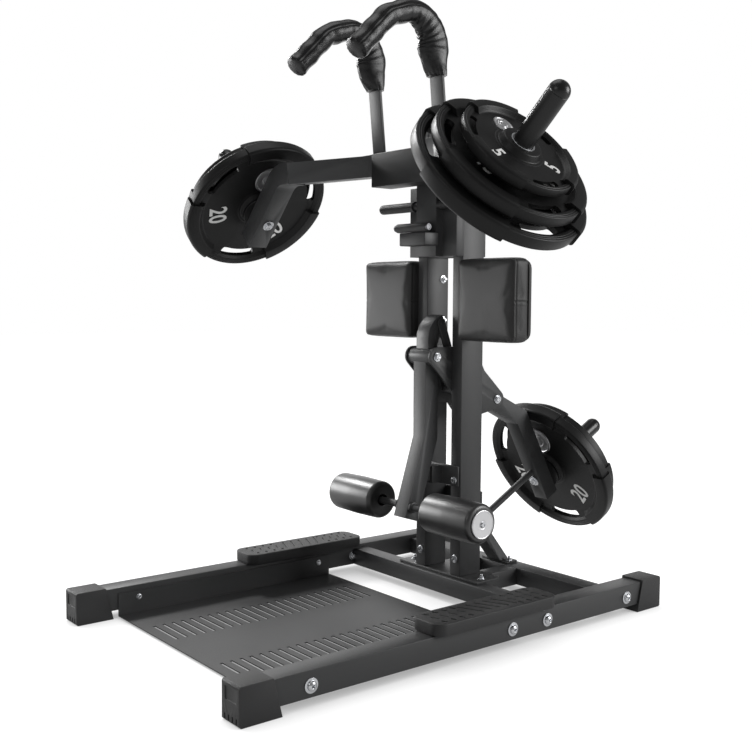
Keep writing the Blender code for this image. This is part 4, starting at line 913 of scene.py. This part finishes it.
class SQUAT_OT_thigh_pads(PieceOperator, bpy.types.Operator):
    """Vinyl covered thigh pads on their boards, the covers swollen as cloth and seamed at the sides"""
    bl_idname = "squat.thigh_pads"
    bl_label = "Thigh pads"

    def stuffed(self, piece, back):
        """Swells the cover as cloth held at the board, and limits how far each place moves."""
        own = sizes()
        start = [vert.co.copy() for vert in piece.data.vertices]
        held = piece.vertex_groups.new(name="held")
        held.add([vert.index for vert in piece.data.vertices if vert.co.y > back - 0.010], 1.0, "REPLACE")
        cover = piece.modifiers.new("cover", "CLOTH")
        set_all(cover.settings, quality=5, mass=0.25, tension_stiffness=25, compression_stiffness=25,
                bending_stiffness=2.0, use_pressure=True, uniform_pressure_force=4.0,
                vertex_group_mass="held")
        cover.settings.effector_weights.gravity = 0
        cover.point_cache.frame_start = 1
        cover.point_cache.frame_end = COVER_FRAMES
        for moment in range(1, COVER_FRAMES + 1):
            bpy.context.scene.frame_set(moment)
        apply_all(piece)
        bpy.context.scene.frame_set(1)
        for vert, place in zip(piece.data.vertices, start):
            move = vert.co - place
            vert.co = place + move * (own.pad_swell / (own.pad_swell + move.length))

    def seam(self, piece, low, high):
        """A stitched ring around the front panel, and a groove across each side at mid height."""
        middle = (low.z + high.z) / 2 - 0.004
        centre = (low + high) / 2
        for vert in piece.data.vertices:
            place = vert.co
            sink = SEAM_DEPTH * bell(place.y - low.y - 0.0150, 0.0020)
            sink -= STITCH_RISE * bell(place.y - low.y - 0.0105, 0.0022)
            edges = [abs(place.x - low.x), abs(place.x - high.x), abs(place.z - low.z),
                     abs(place.z - high.z)]
            if min(edges) < 0.012:
                axis = 0 if edges.index(min(edges)) < 2 else 2
                place[axis] += sink if place[axis] < centre[axis] else -sink
            edge = min(abs(place.x - low.x), abs(place.x - high.x))
            if edge < 0.014:
                gap = place.z - middle
                depth = SEAM_DEPTH * bell(gap, 0.0022) - 0.0006 * bell(abs(gap) - 0.0055, 0.0025)
                fade = min(1.0, (0.014 - edge) / 0.008)
                place.x += (depth if place.x < (low.x + high.x) / 2 else -depth) * fade

    def execute(self, context):
        for word in SIDES:
            node = f"{word}_thigh_pad"
            low, high = corners_of(node)
            pad = block(f"{node}_cover", low + Vector((PAD_INSET, PAD_INSET * 2.2, PAD_INSET)),
                        high - Vector((PAD_INSET, 0, PAD_INSET)), 0.013, 4)
            modified(pad, "REMESH", mode="VOXEL", voxel_size=0.005)
            self.stuffed(pad, high.y)
            modified(pad, "SUBSURF", levels=1, render_levels=1)
            self.fit(pad, low, high)
            self.seam(pad, low, high)
            finish(pad, "floor_frame", "pad_vinyl", 60)
            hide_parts(node)
            carry(f"{word}_pad_board", 0.0015, "painted_board")
        return {"FINISHED"}

    def fit(self, pad, low, high):
        """Sets the swollen cover back to the cushion's overall size."""
        places = [vert.co for vert in pad.data.vertices]
        now_low = Vector(min(place[k] for place in places) for k in range(3))
        now_high = Vector(max(place[k] for place in places) for k in range(3))
        for vert in pad.data.vertices:
            for k in range(3):
                share = (vert.co[k] - now_low[k]) / (now_high[k] - now_low[k])
                vert.co[k] = low[k] + share * (high[k] - low[k])


# The hook bar's middle line, back from the front end and up from the floor: a leg, a bend, and a slanted end
LEG_FOOT, LEG_TOP = 1.433, 1.500
BEND_BACK, BEND_RADIUS = 0.705, 0.085
BEND_SPAN, DIP = radians(110), radians(20)
FALL_LENGTH, TURN_RADIUS, TURN_SPAN, END_LENGTH = 0.045, 0.060, radians(25), 0.130
FULLER = 0.033
FOLD_PITCH, SLACK_PITCH = 0.021, 0.058
END_ROUNDING, END_GATHER = 0.012, 0.010


class SQUAT_OT_shoulder_pads(PieceOperator, bpy.types.Operator):
    """Shoulder pads: stuffed vinyl sleeves with folds over the bend, seams and gathered ends"""
    bl_idname = "squat.shoulder_pads"
    bl_label = "Shoulder pads"

    def centre_line(self):
        """Points along the hook from the cuff to the end, with how much fuller the inner side is."""
        leg = spot(0, 0.790, LEG_FOOT)
        line = []
        for share in (k / 7 for k in range(8)):
            place = leg + Vector((0, 0, (LEG_TOP - LEG_FOOT) * share))
            line.append((place, FULLER * sin(pi / 2 * share) ** 0.8))
        for k in range(1, 25):
            angle = BEND_SPAN * k / 24
            place = spot(0, BEND_BACK + BEND_RADIUS * cos(angle), LEG_TOP + BEND_RADIUS * sin(angle))
            line.append((place, FULLER * cos(angle) if angle < pi / 2 else 0.0))
        place = line[-1][0]
        for k in range(1, 7):
            line.append((place + Vector((0, -cos(DIP), -sin(DIP))) * FALL_LENGTH * k / 6, 0.0))
        middle = line[-1][0] + Vector((0, sin(DIP), -cos(DIP))) * TURN_RADIUS
        for k in range(1, 7):
            angle = DIP + TURN_SPAN * k / 6
            line.append((middle - Vector((0, sin(angle), -cos(angle))) * TURN_RADIUS, 0.0))
        place = line[-1][0]
        for k in range(1, 15):
            line.append((place + Vector((0, -1, -1)).normalized() * END_LENGTH * k / 14, 0.0))
        return line

    def sleeve(self, name, side):
        line = self.centre_line()
        places = [place for place, _ in line]
        lengths = [0.0]
        for one, two in zip(places, places[1:]):
            lengths.append(lengths[-1] + (two - one).length)
        total = lengths[-1]
        low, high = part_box(name)
        x = (low[0] + high[0]) / 2
        deep = sizes().fold_depth

        def at(share):
            """The place, the direction and the fuller side's measure at a share of the way along."""
            goal = share * total
            k = max(i for i, length in enumerate(lengths[:-1]) if length <= goal + 1e-9)
            part = (goal - lengths[k]) / (lengths[k + 1] - lengths[k])
            along = (places[k + 1] - places[k]).normalized()
            if k + 2 < len(places):
                along = along.lerp((places[k + 2] - places[k + 1]).normalized(), part).normalized()
            fuller = line[k][1] * (1 - part) + line[k + 1][1] * part
            return places[k].lerp(places[k + 1], part), along, fuller

        def place_of(share, angle):
            place, along, fuller = at(share)
            inward = Vector((0, -along.z, along.y))
            run = share * total
            left = total - run
            side_reach = 0.0290
            deep_reach = 0.0210 + 0.0080 * min(1.0, run / 0.065)
            if left < END_ROUNDING:
                rounding = max(0.0, 1 - ((END_ROUNDING - left) / END_ROUNDING) ** 3.0) ** 0.5
                side_reach *= rounding
                deep_reach *= rounding
            over = sin(angle)
            inner = max(over, 0.0)
            bend = bell(run - 0.135, 0.075)
            wave = noise.noise(Vector((run * 26 + side * 3, cos(angle) * 0.9, over * 0.9)))
            folds = sin(run * 2 * pi / FOLD_PITCH + 2.4 * wave + 1.2 * cos(angle))
            ripple = deep * bend * (0.25 + 0.75 * inner) * folds
            ripple += deep * 0.55 * noise.noise(Vector((run * 55, cos(angle) * 1.7 + side, over * 1.7)))
            gather = deep * 0.7 * sin(13 * angle + 2 * wave)
            ripple += gather * (exp(-run / 0.014) + exp(-left / 0.012))
            slack = 0.0012 * sin(run * 2 * pi / SLACK_PITCH + side) * (1 - bend)
            for seam, lip in ((-0.5, 0.26), (pi + 0.5, -0.26)):
                apart = ((angle - seam + pi) % (2 * pi)) - pi
                ripple += 0.0006 * bell(apart - lip, 0.13) - 0.0022 * bell(apart, 0.095)
            ripple *= min(1.0, left / END_GATHER)
            loose = ripple + slack * min(1.0, left / END_GATHER)
            out = cos(angle) * (side_reach + loose)
            up = over * (deep_reach + loose) + fuller * inner
            return place + Vector((x + out, 0, 0)) + inward * up

        return wrapped(f"{name}_sleeve", 72, 150, place_of)

    def execute(self, context):
        for word, side in SIDES.items():
            node = f"{word}_shoulder_pad"
            sleeve = self.sleeve(node, side)
            finish(sleeve, "carriage", "sleeve_vinyl", 70)
            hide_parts(node)
        return {"FINISHED"}


AXLE_HOLE = 0.0165


class SQUAT_OT_rollers(PieceOperator, bpy.types.Operator):
    """Foam rollers on their axle, with steel end discs and screws"""
    bl_idname = "squat.rollers"
    bl_label = "Rollers"

    def execute(self, context):
        for word, side in SIDES.items():
            node = f"{word}_roller"
            start, long, radius = lying_round(node, side)
            corners = [(0.0, AXLE_HOLE, 0.002), (0.0, radius - 0.002, 0.0120), (long * 0.5, radius, 0.4),
                       (long, radius - 0.002, 0.0120), (long, AXLE_HOLE, 0.002)]
            profile = rounded_points(corners, 6)
            roller = turned(f"{node}_foam", profile + profile[:1], 72, start, (side, 0, 0))
            finish(roller, BODY_OF[node], "roller_foam", 50)
            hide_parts(node)
            self.end_disc(word, side)
        return {"FINISHED"}

    def end_disc(self, word, side):
        """A dished steel disc with a screw in its middle."""
        node = f"{word}_roller_cap"
        axis = Vector((side, 0, 0))
        start, thick, radius = lying_round(node, side)
        corners = [(0.0, 0.0, 0), (0.0, radius, 0.0004), (thick * 0.55, radius, 0.0020),
                   (thick * 0.62, radius * 0.93, 0.0010), (thick * 0.50, radius * 0.90, 0.0010),
                   (thick * 0.50, 0.012, 0.0006), (thick * 0.42, 0.0105, 0.0004), (thick * 0.42, 0.0, 0)]
        disc = turned(f"{word}_roller_disc", rounded_points(corners, 3), 72, start, axis)
        finish(disc, BODY_OF[node], "disc_metal", 40)
        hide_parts(node)
        profile = [(0.0, 0.0), (0.0, 0.0078), (0.0022, 0.0078), (0.0036, 0.0066), (0.0040, 0.0040),
                   (0.0024, 0.0036), (0.0022, 0.0)]
        screw = turned(f"{word}_roller_screw", profile, 24, start + axis * thick * 0.42, axis)
        finish(screw, BODY_OF[node], "bright_zinc", 40)


RIB_COUNT = 17
RIB = ((0, 0.985), (0.18, 1), (0.78, 1), (0.96, 0.985))


class SQUAT_OT_controls(PieceOperator, bpy.types.Operator):
    """Hand pegs with rubber grips, and the latch bar"""
    bl_idname = "squat.controls"
    bl_label = "Hand pegs and latch"

    def execute(self, context):
        for word, side in SIDES.items():
            node = f"{word}_hand_peg"
            start, long, radius = lying_round(node, side)
            profile = [(0.0, 0.0), (0.0, radius * 0.78), (0.014, radius * 0.78), (0.015, radius * 1.06),
                       (0.019, radius * 1.08), (0.023, radius * 1.02)]
            pitch = (long - 0.040) / RIB_COUNT
            for k in range(RIB_COUNT):
                base = 0.024 + pitch * k
                profile += [(base + pitch * along, radius * share) for along, share in RIB]
            profile += [(long - 0.012, radius), (long - 0.006, radius * 0.95), (long - 0.002, radius * 0.75),
                        (long, radius * 0.42), (long, 0.0)]
            grip = turned(f"{node}_grip", profile, 48, start, (side, 0, 0))
            finish(grip, "carriage", "grip_rubber", 45)
            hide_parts(node)
        carry("latch_handle", 0.0015, "moulded_plastic", 3)
        low, high = corners_of("latch_handle")
        cap = [(-0.002, 0.0), (-0.002, 0.0090), (0.0004, 0.0092), (0.0034, 0.0092), (0.0046, 0.0082),
               (0.0046, 0.0060), (0.0036, 0.0052), (0.0036, 0.0)]
        for word, side in SIDES.items():
            seat = Vector((high.x if side > 0 else low.x, low.y + 0.0105, (low.z + high.z) / 2))
            button = turned(f"latch_{word}_button", cap, 40, seat, (side, 0, 0))
            finish(button, BODY_OF["latch_handle"], "dull_steel", 40)
        return {"FINISHED"}


class SQUAT_OT_bolts(PieceOperator, bpy.types.Operator):
    """Zinc plated bolts, nuts and washers of the frame and the carriage"""
    bl_idname = "squat.bolts"
    bl_label = "Bolts and nuts"

    def master(self, kind, across, washer):
        """A fastener that stands on its seat and points up."""
        half, tall, thick = across / 2, across * 0.36, across * 0.10
        ring = ring_of([(across * 0.2, 0.0, 0), (washer / 2, 0.0, 0.0003), (washer / 2, thick, 0.0006),
                        (across * 0.2, thick, 0)], 2)
        parts = [turned("washer", ring, 36)]
        if kind == "dome":
            cap = [(thick, 0.0), (thick, half), (thick + tall * 0.2, half)]
            cap += [(thick + tall * (0.2 + 0.8 * sin(angle)), half * cos(angle))
                    for angle in (0.30, 0.55, 0.80, 1.02, 1.15)]
            cap += [(thick + tall * 0.90, half * 0.36), (thick + tall * 0.30, half * 0.34),
                    (thick + tall * 0.30, 0.0)]
            parts.append(turned("dome", cap, 30))
        else:
            head = [(thick, 0.0), (thick, half), (thick + tall * 0.82, half), (thick + tall, half * 0.86),
                    (thick + tall, half * 0.62), (thick + tall * 0.84, half * 0.50),
                    (thick + tall * 0.84, 0.0)]
            parts.append(turned("head", head, 6))
        if kind == "nut":
            stud, top = half * 0.5, thick + tall
            thread = [(thick, 0.0), (thick, stud)]
            for k in range(5):
                thread += [(top + 0.0012 * k, stud), (top + 0.0012 * k + 0.0006, stud * 0.88)]
            thread += [(top + 0.0065, stud * 0.85), (top + 0.0070, 0.0)]
            parts.append(turned("stud", thread, 20))
        return united(parts, f"{kind}_master")

    def rows(self, word, side):
        """A side's fasteners: group, kind, place, direction, and head and washer against the usual head."""
        out = Vector((side, 0, 0))
        ends = [corner[0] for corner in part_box(f"{word}_rail")]
        inner, outer = ends if side > 0 else reversed(ends)
        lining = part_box("deck_plate")[1 if side > 0 else 0][0] - side * 0.003
        rows = []
        for y in (0.177, 0.781, 0.906, 1.223):
            rows.append(("rail", "dome", spot(outer, y, 0.048), out, 1.15, 1.7))
            if y > 0.85:
                rows.append(("rail", "nut", spot(inner, y, 0.050), -out, 0.95, 1.4))
        rows += [("rail", "hex", spot(lining, y, 0.048), -out, 0.60, 0.85) for y in (0.177, 0.773)]
        rows += [("column", "hex", spot(side * 0.073, 0.924, 0.127), FRONT, 0.80, 1.15),
                 ("column", "hex", spot(side * 0.073, 0.9177, 0.352), FRONT, 0.80, 1.15),
                 ("column", "nut", spot(side * 0.142, 0.962, 0.0793), UP, 0.72, 1.05),
                 ("column", "nut", spot(side * 0.073, 1.0103, 0.294), BACK, 0.80, 1.15),
                 ("column", "nut", spot(side * 0.073, 1.0043, 0.127), BACK, 0.80, 1.15)]
        rows += [("pad", "nut", spot(side * 0.053, 0.984, z), -out, 0.80, 1.15)
                 for z in (0.913, 0.795, 0.753)]
        rows.append(("brace", "nut", spot(side * 0.040, 1.177, 0.0773), UP, 0.72, 1.0))
        rows += [("carriage", "hex", spot(side * 0.084, 0.923, z), FRONT, 0.75, 1.05)
                 for z in (0.998, 1.140)]
        return rows

    def execute(self, context):
        head = sizes().bolt_across
        masters, groups = {}, {}
        for word, side in SIDES.items():
            for part, kind, place, direction, head_share, washer_share in self.rows(word, side):
                group = f"{word}_{part}_bolts"
                key = (kind, round(head * head_share, 5), round(head * washer_share, 5))
                if key not in masters:
                    masters[key] = self.master(*key)
                bolt = copied(masters[key], "bolt")
                stand(bolt, place, direction, radians(17 * (len(groups) + len(groups.get(group, ())))))
                groups.setdefault(group, []).append(bolt)
        for group, bolts in groups.items():
            body = "carriage" if group.endswith("carriage_bolts") else "floor_frame"
            finish(united(bolts, group), body, "bright_zinc", 32)
        for master in masters.values():
            bpy.data.objects.remove(master, do_unlink=True)
        return {"FINISHED"}


PIN_RADIUS = 0.0098
PIN_HEAD_DEPTH = 0.006


class SQUAT_OT_pivots(PieceOperator, bpy.types.Operator):
    """Pivot pins with hexagon heads and washers, in place of the two plain pins"""
    bl_idname = "squat.pivots"
    bl_label = "Pivots"

    def execute(self, context):
        ring = [(0.0, 0.0), (0.0, 0.0124), (0.0004, 0.0128), (0.0018, 0.0128), (0.0022, 0.0122),
                (0.0022, 0.0)]
        head = [(0.0020, 0.0), (0.0020, 0.0092), (0.0070, 0.0092), (0.0082, 0.0080), (0.0082, 0.0052),
                (0.0070, 0.0044), (0.0070, 0.0)]
        for node in ("front_pivot_pin", "rear_pivot_pin"):
            low, high = corners_of(node)
            middle = (low + high) / 2
            reach = (high.x - low.x) / 2
            shank = [(-reach, 0.0), (-reach, PIN_RADIUS), (reach, PIN_RADIUS), (reach, 0.0)]
            parts = [turned(f"{node}_shank", shank, 40, middle, (1, 0, 0))]
            for side in (1, -1):
                seat = middle + Vector((side * (reach - PIN_HEAD_DEPTH), 0, 0))
                parts.append(turned("washer", ring, 40, seat, (side, 0, 0)))
                parts.append(turned("head", head, 6, seat, (side, 0, 0), radians(12)))
            pin = finish(united(parts, f"{node}_bolt"), BODY_OF[node], "bright_zinc", 32)
            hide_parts(node)
        return {"FINISHED"}


# Each soft light: where it stands, the side of its square, and its power against the key light's
LIGHTS = {"right_light": ((3.2, 2.6, 1.9), 2.0, 1.0),
          "left_light": ((-4.1, -2.05, 1.35), 1.8, 1.05),
          "front_light": ((1.2, -3.6, 2.6), 1.2, 0.10),
          "side_light": ((-3.2, -0.2, 3.0), 0.8, 0.80),
          "back_light": ((-3.2, 3.0, 1.3), 3.6, 0.42),
          "top_light": ((-0.2, -0.2, 4.0), 2.2, 0.20)}
LIGHTS_AIM = Vector((0, 0, 0.8))
CAMERA_PLACE = Vector((2.1812, -1.8501, 0.8634))
CAMERA_TURN, CAMERA_DIP, CAMERA_ROLL = radians(51.5), radians(4.4), radians(0.3)
CAMERA_LENS, CAMERA_SENSOR = 49.65, 36.0


class SQUAT_OT_stage(PieceOperator, bpy.types.Operator):
    """The pale floor, the soft lights and the camera"""
    bl_idname = "squat.stage"
    bl_label = "Stage"

    def execute(self, context):
        own = context.scene.squat_stage
        context.scene.view_settings.view_transform = "Standard"
        deselect()
        bpy.ops.mesh.primitive_plane_add(size=own.floor_size, location=(0, 0, -0.0005))
        floor = named("studio_floor")
        look = surface("studio_floor", (0.35, 0.35, 0.35), 0.8, grain=(300.0, 0.02), drift=0.01, shine=0.0)
        self.light_floor(look.node_tree, own.floor_glow)
        floor.data.materials.append(look)
        world = bpy.data.worlds.new("studio")
        context.scene.world = world
        world.use_nodes = True
        backdrop = world.node_tree.nodes["Background"]
        backdrop.inputs["Color"].default_value = (1.0, 1.0, 1.0, 1.0)
        world.node_tree.links.new(self.seen_as(world.node_tree, own.sky, 1.0), backdrop.inputs["Strength"])
        for name, (place, size, share) in LIGHTS.items():
            bpy.ops.object.light_add(type="AREA", location=place)
            light = named(name)
            light.data.size = size
            light.data.energy = own.key_power * share
            light.rotation_euler = (LIGHTS_AIM - Vector(place)).to_track_quat("-Z", "Y").to_euler()
        self.place_camera(context)
        return {"FINISHED"}

    def seen_as(self, tree, glow, seen):
        """One strength for what the camera sees, and another for the light given out."""
        path = add(tree, "ShaderNodeLightPath", (-700, -950))
        return stretched(tree, (-450, -950), path.outputs["Is Camera Ray"], end=(glow, seen))

    def light_floor(self, tree, glow):
        """Evenly white to the camera, with a painted contact shadow where ambient occlusion dims its glow
        close under the machine, and dimmer as a light on it.
        """
        shader = tree.nodes["Principled BSDF"]
        shader.inputs["Emission Color"].default_value = (1.0, 1.0, 1.0, 1.0)
        # Painted shadow: ambient occlusion cuts the floor's glow close under the machine
        near = add(tree, "ShaderNodeAmbientOcclusion", (-700, -700), {"Distance": 0.18}, samples=12)
        painted_shadow_share = stretched(tree, (-450, -700), near.outputs["AO"], (0.15, 0.92), (0.40, 1.0))
        strength = product(tree, (-200, -800), painted_shadow_share, self.seen_as(tree, glow, 0.92))
        tree.links.new(strength, shader.inputs["Emission Strength"])

    def place_camera(self, context):
        """The photograph's viewpoint, from its vanishing lines and the machine's known places."""
        bpy.ops.object.camera_add()
        camera = named("photo_camera")
        turn, dip, roll = CAMERA_TURN, CAMERA_DIP, CAMERA_ROLL
        ahead = Vector((-sin(turn) * cos(dip), cos(turn) * cos(dip), -sin(dip)))
        across = Vector((cos(turn), sin(turn), 0))
        above = across.cross(ahead)
        right = across * cos(roll) + above * sin(roll)
        top = above * cos(roll) - across * sin(roll)
        place = Matrix((right, top, -ahead)).transposed().to_4x4()
        place.translation = CAMERA_PLACE
        camera.matrix_world = place
        camera.data.sensor_width = CAMERA_SENSOR
        camera.data.lens = CAMERA_LENS
        camera.data.clip_end = 200.0
        context.scene.camera = camera


STEPS = (SQUAT_OT_tubes, SQUAT_OT_tube_plugs, SQUAT_OT_mouldings, SQUAT_OT_plates, SQUAT_OT_horns,
         SQUAT_OT_thigh_pads, SQUAT_OT_shoulder_pads, SQUAT_OT_rollers, SQUAT_OT_controls, SQUAT_OT_bolts,
         SQUAT_OT_pivots, SQUAT_OT_stage)


class SQUAT_PT_panel(bpy.types.Panel):
    bl_idname = "SQUAT_PT_panel"
    bl_label = "Squat machine"
    bl_space_type = "VIEW_3D"
    bl_region_type = "UI"
    bl_category = "Squat machine"

    def draw(self, context):
        for group in (context.scene.squat_finishes, context.scene.squat_sizes, context.scene.squat_stage):
            for key in group.bl_rna.properties.keys():
                if key not in ("rna_type", "name"):
                    self.layout.prop(group, key)
        for step in STEPS:
            self.layout.operator(step.bl_idname)


CLASSES = (SquatFinishes, SquatSizes, SquatStage, *STEPS, SQUAT_PT_panel)


def register():
    for one in CLASSES:
        bpy.utils.register_class(one)
    bpy.types.Scene.squat_finishes = bpy.props.PointerProperty(type=SquatFinishes)
    bpy.types.Scene.squat_sizes = bpy.props.PointerProperty(type=SquatSizes)
    bpy.types.Scene.squat_stage = bpy.props.PointerProperty(type=SquatStage)


def unregister():
    for name in ("squat_finishes", "squat_sizes", "squat_stage"):
        delattr(bpy.types.Scene, name)
    for one in reversed(CLASSES):
        bpy.utils.unregister_class(one)


def main():
    register()
    for step in STEPS:
        area, action = step.bl_idname.split(".")
        getattr(getattr(bpy.ops, area), action)()


if __name__ == "__main__":
    main()
